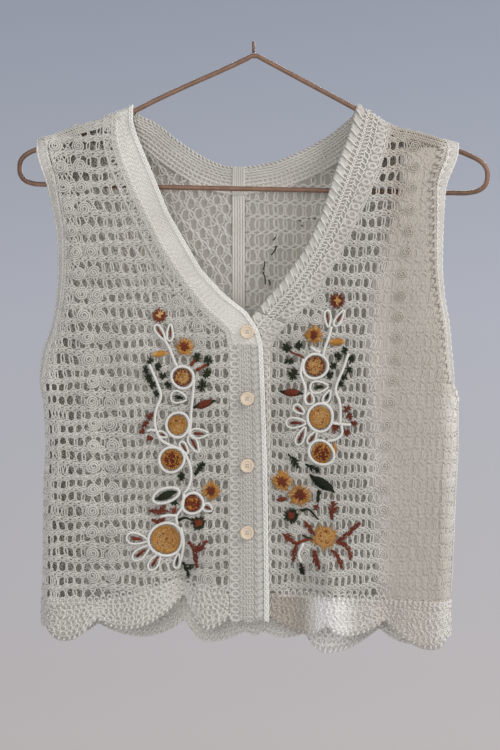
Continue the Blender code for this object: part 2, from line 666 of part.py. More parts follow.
def seat_finder(carrier):
    """Gives the front surface of a finished piece below any x and drop, in millimetres."""
    mesh = carrier.data
    points = [v.co.copy() for v in mesh.vertices]
    tree = BVHTree.FromPolygons(points, [list(p.vertices) for p in mesh.polygons])

    def seat(x, drop):
        hit = tree.ray_cast(Vector((x, -200, -drop)) * MM, Vector((0, 1, 0)))[0]
        return hit.y / MM
    return seat


def flower(name, seat, x, drop, radius, petals, colour):
    """A low domed pad with a petalled outline, lying on the panel."""
    segments = 12
    rings = (1.0,) if radius < 8 else (0.55, 1.0)
    under, over = [], []
    spots = [(0.0, 0.0)]
    for ring in rings:
        for k in range(segments):
            angle = 2 * math.pi * k / segments
            reach = radius * ring * (1 + (0.06 * math.cos(petals * angle) if petals else 0))
            spots.append((reach * math.cos(angle), reach * math.sin(angle)))
    for dx, dz in spots:
        back = seat(x + dx, drop - dz) - SEAT_GAP
        rim = math.hypot(dx, dz) / radius
        under.append((x + dx, back, -drop + dz))
        over.append((x + dx, back - FLOWER_HEIGHT * (1 - 0.5 * rim ** 2), -drop + dz))
    offset = len(under)

    def both(face):
        return [face, tuple(i + offset for i in reversed(face))]

    faces = []
    last = 1 + segments * (len(rings) - 1)
    for k in range(segments):
        n = (k + 1) % segments
        faces += both((0, 1 + k, 1 + n))
        if len(rings) == 2:
            faces += both((1 + k, 1 + segments + k, 1 + segments + n))
            faces += both((1 + k, 1 + segments + n, 1 + n))
        p, q = last + k, last + n
        faces += [(p, p + offset, q + offset), (p, q + offset, q)]
    made = add_object(name, under + over, faces, colour)
    face_outward(made)
    return made


def couched_cord(name, seat, spots, closed):
    points = [(x, seat(x, drop) - SEAT_GAP - CORD_RADIUS, -drop) for x, drop in spots]
    return tube(name, points, CORD_RADIUS, IVORY, closed=closed)


def ring_spots(x, drop, radius, count=14):
    turns = [2 * math.pi * k / count for k in range(count)]
    return [(x + radius * math.cos(a), drop + radius * math.sin(a)) for a in turns]


def embroidery(suffix, carrier, flowers, stem):
    seat = seat_finder(carrier)
    for name, x, drop, radius, petals, ring in flowers:
        colour = RUST if "rust" in name else GREEN if "green" in name else MUSTARD
        flower(f"flower_{name}_{suffix}", seat, x, drop, radius, petals, colour)
        if ring:
            couched_cord(f"cord_{name}_{suffix}", seat, ring_spots(x, drop, ring), closed=True)
    spots = [(p.x, p.y) for p in smooth_route([(x, d) for x, d in stem], 6)]
    couched_cord(f"cord_stem_{suffix}", seat, spots, closed=False)


def button(name, seat, x, drop):
    """A turned disc with a dished face and four holes."""
    shape = bmesh.new()
    r, t = BUTTON_RADIUS, BUTTON_THICKNESS
    profile = [(0, 0), (r * 0.9, 0), (r, t * 0.4), (r * 0.94, t), (r * 0.72, t),
               (r * 0.6, t - BUTTON_DISH), (0, t - BUTTON_DISH)]
    verts = [shape.verts.new((px, 0, pz)) for px, pz in profile]
    edges = [shape.edges.new(pair) for pair in zip(verts, verts[1:])]
    bmesh.ops.spin(shape, geom=verts + edges, axis=(0, 0, 1), cent=(0, 0, 0), steps=20,
                   angle=2 * math.pi, use_merge=True)
    bmesh.ops.remove_doubles(shape, verts=shape.verts, dist=0.0001)
    bmesh.ops.recalc_face_normals(shape, faces=shape.faces)
    slope = (seat(x, drop + 4) - seat(x, drop - 4)) / 8
    lean = (seat(x + 4, drop) - seat(x - 4, drop)) / 8
    outward = Vector((lean, -1, -slope)).normalized()
    corners = [seat(x + dx, drop + dz) for dx in (-5, 0, 5) for dz in (-5, 0, 5)]
    base = Vector((x, min(corners) - SEAT_GAP, -drop))
    turn = Vector((0, 0, 1)).rotation_difference(outward).to_matrix().to_4x4()
    scale = Matrix.Scale(MM, 4)
    bmesh.ops.transform(shape, matrix=scale @ Matrix.Translation(base) @ turn, verts=shape.verts)
    mesh = bpy.data.meshes.new(name)
    shape.to_mesh(mesh)
    shape.free()
    mesh.shade_smooth()
    mesh.set_sharp_from_angle(angle=math.radians(40))
    mesh.materials.append(material(name, PEACH, roughness=0.5))
    made = bpy.data.objects.new(name, mesh)
    bpy.context.scene.collection.objects.link(made)
    for k in range(4):
        angle = math.radians(45 + 90 * k)
        spot = Vector((math.cos(angle), math.sin(angle), 0)) * BUTTON_HOLE_SPREAD
        cut_hole(made, scale @ Matrix.Translation(base) @ turn @ Matrix.Translation(spot), k)


def cut_hole(target, matrix, index):
    shape = bmesh.new()
    bmesh.ops.create_cone(shape, cap_ends=True, segments=6, radius1=BUTTON_HOLE,
                          radius2=BUTTON_HOLE, depth=BUTTON_THICKNESS * 4, matrix=matrix)
    mesh = bpy.data.meshes.new(f"{target.name}_hole_{index}")
    shape.to_mesh(mesh)
    shape.free()
    cutter = bpy.data.objects.new(mesh.name, mesh)
    bpy.context.scene.collection.objects.link(cutter)
    cutter.hide_render = True
    cutter.display_type = "WIRE"
    cut = target.modifiers.new(f"hole_{index}", "BOOLEAN")
    cut.operation = "DIFFERENCE"
    cut.solver = "EXACT"
    cut.object = cutter


def hanger():
    """One closed loop of wire with a small hook standing on its peak."""
    route = smooth_route([(x, 0, -drop) for x, drop in WIRE_ROUTE], WIRE_STEP, closed=True)
    tube("hanger_frame", route, WIRE_RADIUS, COPPER, closed=True, roughness=0.4, metallic=0.7)
    bend = HOOK_INNER + HOOK_WIRE
    points = []
    for k in range(HOOK_POINTS + 1):
        angle = HOOK_START + HOOK_SWEEP * k / HOOK_POINTS
        points.append((0, bend * math.cos(angle), bend * math.sin(angle) - HOOK_INNER))
    tube("hanger_hook", points, HOOK_WIRE, COPPER, roughness=0.4, metallic=0.7, resolution=2)


def build():
    for old in list(bpy.data.objects):
        bpy.data.objects.remove(old)

    neck_right, neck_left = with_curl(NECK_RIGHT), with_curl(NECK_LEFT)
    right_panel, right_edge = front_panel("front_right", RIGHT, neck_right, PLACKET_TOP)
    left_panel, left_edge = front_panel("front_left", LEFT, neck_left, PLACKET_UNDER)
    back_right_edge = back_panel("back_right", RIGHT, BACK_BAND_RIGHT_X)[1]
    back_left_edge = back_panel("back_left", LEFT, BACK_BAND_LEFT_X)[1]

    def nearer_side(x):
        return RIGHT if x < 0 else LEFT

    centre = [(BACK_BAND_LEFT_X - SEAM_GAP, drop, BACK_BAND_RIGHT_X + SEAM_GAP, drop)
              for drop in BACK_MIDDLE_DROPS + [BACK_BAND_TOP]]
    band("back_centre_band", nearer_side, BACK, centre, 1)
    band("neckband_right", lambda x: RIGHT, FRONT, neck_right, 3)
    band("neckband_left", lambda x: LEFT, FRONT, neck_left, 4)
    band("neckband_back", nearer_side, BACK, with_curl(NECK_BACK), 3)
    top = band("placket_top", lambda x: RIGHT, FRONT, PLACKET_TOP, 3)
    band("placket_under", lambda x: LEFT, FRONT, PLACKET_UNDER, 3)

    armhole_band("armhole_band_right", RIGHT)
    armhole_band("armhole_band_left", LEFT)

    front_hem("hem_front_right", RIGHT, SCALLOPS_RIGHT, SCALLOPS_RIGHT_END,
              PLACKET_TOP[-1][2], right_edge)
    front_hem("hem_front_left", LEFT, SCALLOPS_LEFT, SCALLOPS_LEFT_END,
              PLACKET_UNDER[-1][2], left_edge)
    back_hem("hem_back", back_right_edge + back_left_edge)

    embroidery("right", right_panel, FLOWERS_RIGHT, STEM_RIGHT)
    embroidery("left", left_panel, FLOWERS_LEFT, STEM_LEFT)

    placket_seat = seat_finder(top)
    for k in range(BUTTON_COUNT):
        button(f"button_{k + 1}", placket_seat, BUTTON_X, BUTTON_FIRST + BUTTON_PITCH * k)

    hanger()


build()
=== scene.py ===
import json
import math
import random

import bmesh
import bpy
import numpy as np
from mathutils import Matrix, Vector

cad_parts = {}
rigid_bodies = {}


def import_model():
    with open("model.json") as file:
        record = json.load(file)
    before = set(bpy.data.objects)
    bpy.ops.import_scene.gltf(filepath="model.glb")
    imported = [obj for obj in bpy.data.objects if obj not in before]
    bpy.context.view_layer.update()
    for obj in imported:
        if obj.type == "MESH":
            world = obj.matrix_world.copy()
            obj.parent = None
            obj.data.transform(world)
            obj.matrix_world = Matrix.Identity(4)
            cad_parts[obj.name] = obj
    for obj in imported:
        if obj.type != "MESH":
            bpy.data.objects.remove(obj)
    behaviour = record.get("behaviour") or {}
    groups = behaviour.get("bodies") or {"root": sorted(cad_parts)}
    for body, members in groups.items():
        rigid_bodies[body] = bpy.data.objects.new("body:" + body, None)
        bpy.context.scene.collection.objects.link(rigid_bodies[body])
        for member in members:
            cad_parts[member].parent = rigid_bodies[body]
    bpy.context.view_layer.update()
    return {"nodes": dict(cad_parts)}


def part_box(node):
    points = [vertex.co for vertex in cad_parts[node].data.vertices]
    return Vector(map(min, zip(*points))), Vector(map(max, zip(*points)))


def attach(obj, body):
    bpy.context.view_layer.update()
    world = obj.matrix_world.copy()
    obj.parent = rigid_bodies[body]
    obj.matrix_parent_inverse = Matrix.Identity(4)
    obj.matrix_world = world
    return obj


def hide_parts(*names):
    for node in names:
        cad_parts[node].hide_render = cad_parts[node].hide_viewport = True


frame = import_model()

nodes = frame["nodes"]
mm = 0.001
right, left = -1, 1          # the wearer's
front, back = -1, 1
sideNames = {right: "Right", left: "Left"}
dice = random.Random(11)

# The hanging form, in millimetres. A drop is a distance down from the peg, a reach is the distance
# along the cloth from the middle, and the wearer's right is negative.
form = {
    "armBand": 9.0, "shoulderCurl": 4.5, "shoulderEase": 70.0,
    "sideRoll": 15.0, "armRollAngle": math.radians(52), "underarm": 320.0, "armCurve": 18.0,
    "armHalfGap": 10.0, "underlap": 3.8, "underlapFrom": 14.0, "underlapTo": 44.0,
    # drop, right, left
    "outline": [
        (50, 204, 192.5), (98, 203, 192), (139, 191, 179), (181, 183, 176.5), (209, 182, 176),
        (237, 183.5, 178), (265, 188, 182.5), (293, 197, 185), (320, 199.5, 188), (336, 196, 191),
        (377, 194, 191), (418, 196, 189), (488, 196.5, 186), (530, 198, 184), (585, 197, 184)],
    # drop, front, back
    "depth": [(50, 11, 9), (120, 15, 13), (200, 19, 16), (300, 22, 19), (400, 22, 20), (585, 23, 21)],
    "shoulderRight": [  # x, drop
        (-206, 94.5), (-198, 88.5), (-189, 85.7), (-177, 81), (-165, 76.5), (-148, 72),
        (-129, 64.5), (-113.5, 58), (-106, 55)],
    "shoulderLeft": [  # x, drop
        (90, 53), (97.5, 56.5), (109, 63.2), (119.5, 70), (128, 76), (136, 79), (148, 81),
        (160, 84.2), (176, 89), (194, 95)],
    # face, x at top, x at bottom, top drop, bottom drop, width, push outward
    "folds": [
        (front, -160, -153, 230, 440, 11, 2.0), (front, -138, -134, 240, 450, 11, -2.5),
        (front, -68, -67, 452, 580, 13, -9.0), (front, -104, -112, 470, 580, 22, 3.0),
        (front, 128, 118, 130, 420, 20, -3.0), (front, 40, 38, 460, 580, 15, -7.0),
        (front, 72, 75, 460, 580, 11, 7.0), (front, 124, 122, 500, 580, 12, -4.0),
        (back, -120, -128, 240, 520, 16, -3.0), (back, -72, -64, 360, 580, 16, 3.5),
        (back, 52, 66, 380, 580, 16, 4.0), (back, 116, 122, 220, 580, 15, -4.0)],
}


def softCurve(rows, value=1):  # monotone curve through (at, ..., value) rows
    ats = np.array([row[0] for row in rows], float)
    values = np.array([row[value] for row in rows], float)
    slopes = np.diff(values) / np.diff(ats)
    middle = [0.0 if a * b <= 0 else 2 * a * b / (a + b) for a, b in zip(slopes, slopes[1:])]
    tangents = np.array([slopes[0], *middle, slopes[-1]])
    fine = np.arange(ats[0], ats[-1] + 0.25, 0.5)
    i = np.clip(np.searchsorted(ats, fine, side="right") - 1, 0, len(ats) - 2)
    span = ats[i + 1] - ats[i]
    t = (fine - ats[i]) / span
    smooth = (values[i] * (1 + 2 * t) * (1 - t) ** 2 + values[i + 1] * t * t * (3 - 2 * t)
              + span * (tangents[i] * t * (1 - t) ** 2 - tangents[i + 1] * t * t * (1 - t)))
    return lambda at: np.interp(at, fine, smooth)


def ease(t):
    t = np.clip(t, 0, 1)
    return t * t * (3 - 2 * t)


widthRight, widthLeft = softCurve(form["outline"], 1), softCurve(form["outline"], 2)
halfDepth = {front: softCurve(form["depth"], 1), back: softCurve(form["depth"], 2)}
ridgeRight, ridgeLeft = softCurve(form["shoulderRight"]), softCurve(form["shoulderLeft"])


def halfWidth(side, drop):
    return np.where(np.asarray(side) < 0, widthRight(drop), widthLeft(drop))


def ridgeDrop(x):  # top of the shoulders; across the neck it is far above the cloth
    startX, startDrop = form["shoulderRight"][-1]
    endX, endDrop = form["shoulderLeft"][0]
    t = np.clip((x - startX) / (endX - startX), 0, 1)
    across = startDrop * (1 - t) + endDrop * t - 60 * np.sin(math.pi * t)
    return np.where(x <= startX, ridgeRight(x), np.where(x >= endX, ridgeLeft(x), across))


def flatDepth(face, x, drop):
    curl = form["shoulderCurl"]
    below = np.maximum(drop - ridgeDrop(x), 0)
    t = np.clip((below - curl) / form["shoulderEase"], 0, 1)
    full = curl + (halfDepth[face](drop) - curl) * (1 - (1 - t) ** 2)
    return np.where(below < curl, np.sqrt(np.maximum(curl ** 2 - (curl - below) ** 2, 0)), full)


def armFraction(drop):
    t = np.clip((drop - (form["underarm"] - form["armCurve"])) / form["armCurve"], 0, 1)
    return np.sqrt(1 - t ** 2)


def edgeShare(side, face, drop):
    flat = flatDepth(face, side * halfWidth(side, drop), drop)
    return np.minimum(form["armHalfGap"] / np.maximum(flat, 1), 0.92) * armFraction(drop)


def roll(side, face, drop):  # where the flat part ends, the roll's length and its angle
    width = halfWidth(side, drop)
    flat = flatDepth(face, side * width, drop)
    angle = math.pi / 2 + (form["armRollAngle"] - math.pi / 2) * armFraction(drop)
    across = form["sideRoll"] / np.sin(angle)
    deep = flat * (1 - edgeShare(side, face, drop)) / (1 - np.cos(angle))
    return width - form["sideRoll"], angle * np.sqrt((across ** 2 + deep ** 2) / 2), angle


def edgeReach(side, face, drop):  # how far the cloth goes, to the side seam or the armhole
    flat, length, _ = roll(side, face, drop)
    return flat + length


def foldPush(face, x, drop):
    push = np.zeros(np.shape(x))
    for foldFace, xTop, xBottom, top, bottom, width, height in form["folds"]:
        if foldFace != face:
            continue
        t = (drop - top) / (bottom - top)
        fade = ease(t / 0.35) * (ease((1 - t) / 0.2) if bottom < 570 else 1)
        middle = xTop + (xBottom - xTop) * np.clip(t, 0, 1)
        push = push + height * fade * np.exp(-((x - middle) / width) ** 2)
    return push


def formPoint(face, reach, drop, side):
    along = side * reach
    flat, length, angle = roll(side, face, drop)
    turn = angle * np.clip((along - flat) / length, 0, 1)
    x = side * np.where(along > flat, flat + form["sideRoll"] * np.sin(turn) / np.sin(angle), along)
    share = edgeShare(side, face, drop)
    fall = (np.cos(turn) - np.cos(angle)) / (1 - np.cos(angle))
    depth = flatDepth(face, x, drop) * (share + (1 - share) * fall)
    depth = depth + foldPush(face, x, drop) * np.cos(turn) ** 2 * np.minimum(depth / 12, 1)
    if face == front:
        lap = ease((form["underlapTo"] - x) / (form["underlapTo"] - form["underlapFrom"]))
        depth = depth - form["underlap"] * lap * (side > 0)
    return np.stack([x, face * depth, -drop], -1)


def onCloth(face, reach, drop, lift=0.0, side=None):  # in metres
    reach, drop = np.asarray(reach, float), np.asarray(drop, float)
    side = np.where(reach < 0, right, left) if side is None else np.full(reach.shape, side)
    drop = np.maximum(drop, ridgeDrop(reach) + 0.1)
    here = formPoint(face, reach, drop, side)
    limit = edgeReach(side, face, drop)
    near = formPoint(face, side * (np.minimum(side * reach, limit) - 0.4), drop, side)
    far = formPoint(face, side * np.minimum(side * reach, limit - 0.01), drop, side)
    below = formPoint(face, reach, drop + 0.05, side)
    normal = np.cross(far - near, below - here)
    normal *= (face * side)[..., None] / np.maximum(np.linalg.norm(normal, axis=-1), 1e-9)[..., None]
    return (here + normal * np.asarray(lift)[..., None]) * mm


def stage(words):
    print("stage:", words)


def newMaterial(name, values):
    made = bpy.data.materials.new(name)
    made.use_nodes = True
    shader = made.node_tree.nodes["Principled BSDF"]
    for socket, value in values.items():
        shader.inputs[socket].default_value = value
    return made, made.node_tree, shader


def addNode(tree, kind, values=None, sources=None):  # the inputs' own values, and what feeds the others
    node = tree.nodes.new("ShaderNode" + kind)
    for socket, value in (values or {}).items():
        node.inputs[socket].default_value = value
    for socket, source in (sources or {}).items():
        tree.links.new(source, node.inputs[socket])
    return node


def addRamp(tree, source, stops):  # stops: place, colour
    ramp = addNode(tree, "ValToRGB", sources={"Fac": source})
    elements = ramp.color_ramp.elements
    while len(elements) < len(stops):
        elements.new(0.5)
    for element, (at, colour) in zip(elements, stops):
        element.position, element.color = at, (*colour, 1)
    return ramp.outputs["Color"]


def addBump(tree, height, strength, distance, invert=False):
    bump = addNode(tree, "Bump", {"Strength": strength, "Distance": distance}, {"Height": height})
    bump.invert = invert
    tree.links.new(bump.outputs["Normal"], tree.nodes["Principled BSDF"].inputs["Normal"])


# what all the yarns share; pitches are of the knitted loops, across and along, in metres
yarnLook = {
    "roughness": 0.92, "sheen": 0.15, "sheenRoughness": 0.6, "specular": 0.25,
    "patchScale": 28.0, "fibreScale": 900.0, "fibreStrength": 0.35, "fibreDistance": 0.0006,
    "loopStrength": 0.9, "loopDistance": 0.0012,
    "knit": (0.0024, 0.0026), "wideKnit": (0.0030, 0.0034), "fineKnit": (0.0022, 0.0024),
}


def clothSurface(name, rough, sheen):
    return newMaterial(name, {"Roughness": rough, "Sheen Weight": sheen,
                              "Sheen Roughness": yarnLook["sheenRoughness"],
                              "Specular IOR Level": yarnLook["specular"]})


def clothMaterial(name, colour, shade, rough=yarnLook["roughness"], bumpScale=yarnLook["fibreScale"],
                  bumpDepth=yarnLook["fibreStrength"], sheen=yarnLook["sheen"]):  # patches and fine fibres
    made, tree, shader = clothSurface(name, rough, sheen)
    place = addNode(tree, "TexCoord").outputs["Object"]
    patches = addNode(tree, "TexNoise", {"Scale": yarnLook["patchScale"], "Detail": 4.0}, {"Vector": place})
    colours = addRamp(tree, patches.outputs["Fac"], [(0.3, shade), (0.7, colour)])
    tree.links.new(colours, shader.inputs["Base Color"])
    fibres = addNode(tree, "TexNoise", {"Scale": bumpScale, "Detail": 3.0}, {"Vector": place})
    addBump(tree, fibres.outputs["Fac"], bumpDepth, yarnLook["fibreDistance"])
    return made


def letThrough(made, share):  # thin cloth that passes some of the light
    tree = made.node_tree
    shader = tree.nodes["Principled BSDF"]
    colour = shader.inputs["Base Color"].links[0].from_socket
    thin = addNode(tree, "BsdfTranslucent", sources={"Color": colour})
    both = addNode(tree, "MixShader", {"Fac": share})
    tree.links.new(shader.outputs["BSDF"], both.inputs[1])
    tree.links.new(thin.outputs["BSDF"], both.inputs[2])
    tree.links.new(both.outputs["Shader"], tree.nodes["Material Output"].inputs["Surface"])
    return made


def shellMaterial(name, colour, shade, pitch="knit", strength=yarnLook["loopStrength"]):
    # knitted ground, on the cloth's own UV
    made, tree, shader = clothSurface(name, yarnLook["roughness"], yarnLook["sheen"])
    across, along = yarnLook[pitch]
    lay = addNode(tree, "UVMap").outputs["UV"]
    scaled = addNode(tree, "Mapping", {"Scale": (1 / along, 1 / across, 1)}, {"Vector": lay})
    loops = addNode(tree, "TexVoronoi", {"Scale": 1.0, "Randomness": 0.25},
                    {"Vector": scaled.outputs["Vector"]})
    hollow = loops.outputs["Distance"]
    addBump(tree, hollow, strength, yarnLook["loopDistance"], invert=True)
    # the colour darkens from each loop's middle to its edge: painted shade in the hollows between loops
    tree.links.new(addRamp(tree, hollow, [(0.25, colour), (0.75, shade)]), shader.inputs["Base Color"])
    return made


def plainMaterial(name, colour, shade, rough, metallic, scale, bumpScale, bumpDepth):  # wire and wood
    made, tree, shader = newMaterial(name, {"Roughness": rough, "Metallic": metallic})
    place = addNode(tree, "TexCoord").outputs["Object"]
    stretch = addNode(tree, "Mapping", {"Scale": scale}, {"Vector": place})
    patches = addNode(tree, "TexNoise", {"Scale": 1.0, "Detail": 4.0, "Roughness": 0.6},
                      {"Vector": stretch.outputs["Vector"]})
    colours = addRamp(tree, patches.outputs["Fac"], [(0.32, shade), (0.68, colour)])
    tree.links.new(colours, shader.inputs["Base Color"])
    fine = addNode(tree, "TexNoise", {"Scale": bumpScale}, {"Vector": place})
    addBump(tree, fine.outputs["Fac"], bumpDepth, 0.0003)
    return made


def tint(made, low, high, stops):  # multiplies the colour by a ramp across the garment's width, which paints in some light and shade
    tree = made.node_tree
    shader = tree.nodes["Principled BSDF"]
    plain = shader.inputs["Base Color"].links[0].from_socket
    place = addNode(tree, "TexCoord").outputs["Object"]
    across = addNode(tree, "SeparateXYZ", sources={"Vector": place}).outputs["X"]
    spread = addNode(tree, "MapRange", {"From Min": low * mm, "From Max": high * mm}, {"Value": across})
    shares = [((at - low) / (high - low), colour) for at, colour in stops]
    both = addNode(tree, "Mix")
    both.data_type, both.blend_type = "RGBA", "MULTIPLY"
    both.inputs[0].default_value = 1.0
    tree.links.new(plain, both.inputs[6])
    tree.links.new(addRamp(tree, spread.outputs["Result"], shares), both.inputs[7])
    tree.links.new(both.outputs[2], shader.inputs["Base Color"])


stage("finishes")
finishes = {
    "lace": clothMaterial("creamLace", (0.70, 0.668, 0.61), (0.60, 0.572, 0.515)),
    "laceLeft": clothMaterial("brushedLace", (0.80, 0.765, 0.70), (0.68, 0.645, 0.58)),
    "hemLeft": clothMaterial("brushedAndShadedHem", (0.87, 0.85, 0.81), (0.80, 0.775, 0.73)),
    # dark ground standing for the shade in the gaps between stitches: painted shade
    "hemGround": shellMaterial("shadedHem", (0.50, 0.47, 0.41), (0.38, 0.35, 0.30)),
    "brushed": shellMaterial("brushedGround", (0.63, 0.59, 0.53), (0.54, 0.50, 0.44), "wideKnit", 0.45),
    "hemLeftGround": shellMaterial("brushedHemGround", (0.74, 0.705, 0.65), (0.62, 0.585, 0.53)),
    # the right hem's yarn is darker than the band's: painted shade on the side away from the light
    "hemRight": clothMaterial("shadedHemYarn", (0.665, 0.64, 0.585), (0.59, 0.565, 0.505)),
    "band": clothMaterial("ivoryBand", (0.74, 0.715, 0.655), (0.66, 0.63, 0.565)),
    "ground": shellMaterial("ivoryGround", (0.70, 0.67, 0.605), (0.56, 0.53, 0.465)),
    # the back's ground and inner lace are darker than the front's yarn: painted shade of the garment's inside
    "deep": letThrough(shellMaterial("shadedGround", (0.40, 0.375, 0.33), (0.355, 0.33, 0.288),
                                     strength=0.25), 0.3),
    "backYarn": letThrough(clothMaterial("innerLace", (0.58, 0.555, 0.505), (0.52, 0.495, 0.445)), 0.15),
    "rope": clothMaterial("ropeYarn", (0.60, 0.572, 0.52), (0.50, 0.473, 0.42), bumpScale=420, bumpDepth=0.9),
    # the turned hem's yarn is lighter than the band's to offset the front hem's shadow on it: painted light
    "hemBack": clothMaterial("turnedHem", (0.93, 0.915, 0.88), (0.88, 0.86, 0.82)),
    "cord": clothMaterial("whiteCord", (0.73, 0.71, 0.66), (0.66, 0.64, 0.585), bumpScale=1400),
    # darker yarn for the recessed placket and the back neckband: painted shade
    "shadedBand": clothMaterial("shadedBandYarn", (0.60, 0.575, 0.525), (0.52, 0.495, 0.445)),
    "edge": clothMaterial("edgeCord", (0.84, 0.82, 0.765), (0.76, 0.738, 0.68)),
    # dark ground for the gaps of the placket and the centre back band: painted shade
    "shadedBandGround": shellMaterial("shadedBandGround", (0.50, 0.475, 0.425), (0.37, 0.347, 0.302), "fineKnit"),
    "mustard": clothMaterial("mustardThread", (0.56, 0.27, 0.05), (0.36, 0.15, 0.022), 0.7, 1500, 0.5, 0.05),
    "ochre": clothMaterial("ochreThread", (0.60, 0.38, 0.15), (0.46, 0.24, 0.075), 0.7, 1500, 0.5, 0.05),
    "rust": clothMaterial("rustThread", (0.22, 0.042, 0.014), (0.11, 0.022, 0.010), 0.75, 1500, 0.5, 0.02),
    "green": clothMaterial("greenThread", (0.026, 0.036, 0.013), (0.010, 0.014, 0.006), 0.8, 1500, 0.5, 0.0),
    "wire": plainMaterial("copperWire", (0.265, 0.147, 0.09), (0.18, 0.10, 0.063), 0.5, 0.15, (160, 160, 160),
                          700, 0.2),
    "wood": plainMaterial("paleWood", (0.74, 0.61, 0.455), (0.64, 0.51, 0.365), 0.5, 0.0, (900, 260, 190),
                          1800, 0.25),
}
clear, beige, brushedAndShadedHem, darkerEnds = (1, 1, 1), (0.66, 0.632, 0.592), (0.68, 0.65, 0.605), (0.66, 0.64, 0.61)
turnedHem, groundEnd = (0.79, 0.775, 0.75), (0.78, 0.745, 0.70)
tints = {  # first and last x, then the stops: x, colour; the ramps are partly the yarn's own tone, partly painted light and shade
    # the right front, away from the light, at 0.872 of its colour: painted shade; its outer side edge keeps
    # full colour
    "lace": (-200, 0, [(-188, clear), (-178, (0.872, 0.872, 0.87))]),
    # from 132 to 172 mm the brushed knit's beige and painted shade of the fold there; the side edge past 188
    # mm, at full colour, is a painted highlight
    "laceLeft": (0, 200, [(112, (0.79, 0.789, 0.784)), (132, beige), (172, beige), (188, clear)]),
    # painted shade of the fold trough below 46 mm, a painted highlight on the lit fold ridge from 62 to 82
    # mm; from 116 to 160 mm the brushed knit's tone and painted shade
    "hemLeft": (0, 200, [(46, (0.53, 0.49, 0.44)), (62, clear), (82, clear), (96, (0.78, 0.765, 0.74)),
                         (116, brushedAndShadedHem), (160, brushedAndShadedHem), (180, (0.86, 0.85, 0.83))]),
    # lighter towards the side edge from 170 to 190 mm: a painted highlight
    "brushed": (0, 200, [(170, (0.745, 0.735, 0.72)), (190, clear)]),
    # as on the hem's yarn: painted shade below 46 mm, a painted highlight from 60 to 84 mm, then the brushed
    # knit's tone with painted shade
    "hemLeftGround": (0, 200, [(46, (0.57, 0.53, 0.48)), (60, clear), (84, clear), (100, groundEnd),
                               (170, groundEnd), (184, clear)]),
    # full colour from 62 to 82 mm, below the front's lit fold ridge, is a painted highlight; the sides are
    # darker
    "hemBack": (-200, 200, [(44, turnedHem), (62, clear), (82, clear), (98, turnedHem)]),
    # the wire is darker at its curled ends
    "wire": (-230, 230, [(-218, darkerEnds), (-206, clear), (160, clear), (186, darkerEnds), (206, darkerEnds), (217, clear)]),
}
for finish, (low, high, stops) in tints.items():
    tint(finishes[finish], low, high, stops)
counted = {}          # triangles of each piece


def keepPiece(made, finish, replaced=()):
    if made.name not in bpy.context.scene.collection.objects:
        bpy.context.scene.collection.objects.link(made)
    made.data.materials.clear()
    made.data.materials.append(finishes[finish])
    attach(made, "root")
    if replaced:
        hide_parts(*replaced)
    counted[made.name] = sum(len(face.vertices) - 2 for face in made.data.polygons)
    return made


def yarnPiece(name, strands, thickness, finish, sides=4, replaced=()):
    # strands: (points in metres, closed, radius shares or None)
    curve = bpy.data.curves.new(name + "Line", "CURVE")
    curve.dimensions = "3D"
    curve.bevel_depth = thickness * mm / 2
    curve.bevel_resolution = (sides - 4) // 2
    curve.use_fill_caps = True
    for points, closed, shares in strands:
        spline = curve.splines.new("POLY")
        spline.points.add(len(points) - 1)
        spline.points.foreach_set("co", np.column_stack([points, np.ones(len(points))]).ravel())
        spline.points.foreach_set("radius", np.ones(len(points)) if shares is None else shares)
        spline.use_cyclic_u = closed
    holder = bpy.data.objects.new(name + "Line", curve)
    bpy.context.scene.collection.objects.link(holder)
    bpy.context.view_layer.update()
    mesh = bpy.data.meshes.new_from_object(holder.evaluated_get(bpy.context.evaluated_depsgraph_get()))
    bpy.data.objects.remove(holder)
    bpy.data.curves.remove(curve)
    work = bmesh.new()
    work.from_mesh(mesh)
    bmesh.ops.remove_doubles(work, verts=work.verts, dist=1e-7)
    bpy.data.meshes.remove(mesh)
    return keepPiece(keepMesh(work, name), finish, replaced)


def laid(strands, mapper):  # flat strands onto the cloth, all in one go
    if not strands:
        return []
    placed = mapper(np.concatenate([strand[0] for strand in strands]))
    cuts = np.cumsum([len(strand[0]) for strand in strands])[:-1]
    return [(points, *strand[1:]) for points, strand in zip(np.split(placed, cuts), strands)]


def spacedRows(rows, step):  # evenly stepped rows along the middle of a table of rows, softened
    rows = np.array(rows, float)
    middle = np.column_stack([(rows[:, 0] + rows[:, 2]) / 2, (rows[:, 1] + rows[:, 3]) / 2])
    at = np.concatenate([[0], np.cumsum(np.linalg.norm(np.diff(middle, axis=0), axis=1))])
    fine = np.linspace(0, at[-1], max(int(at[-1] / step), 2) + 1)
    spaced = np.column_stack([np.interp(fine, at, rows[:, k]) for k in range(4)])
    for _ in range(3):
        spaced[1:-1] = spaced[1:-1] * 0.5 + (spaced[:-2] + spaced[2:]) * 0.25
    return spaced


def makeStrip(base, out):  # base and out are grids of places: along the strip, across it
    step = np.linalg.norm(np.diff(base[:, base.shape[1] // 2], axis=0), axis=1)
    return {"base": base, "out": out, "at": np.concatenate([[0], np.cumsum(step)]) / mm,
            "width": np.linalg.norm(base[:, -1] - base[:, 0], axis=1) / mm}


def clothStrip(face, reach, drop, side):  # a strip that lies on the cloth at a grid of places
    base = onCloth(face, reach, drop, np.zeros(reach.shape), side)
    return makeStrip(base, onCloth(face, reach, drop, np.ones(reach.shape), side) - base)


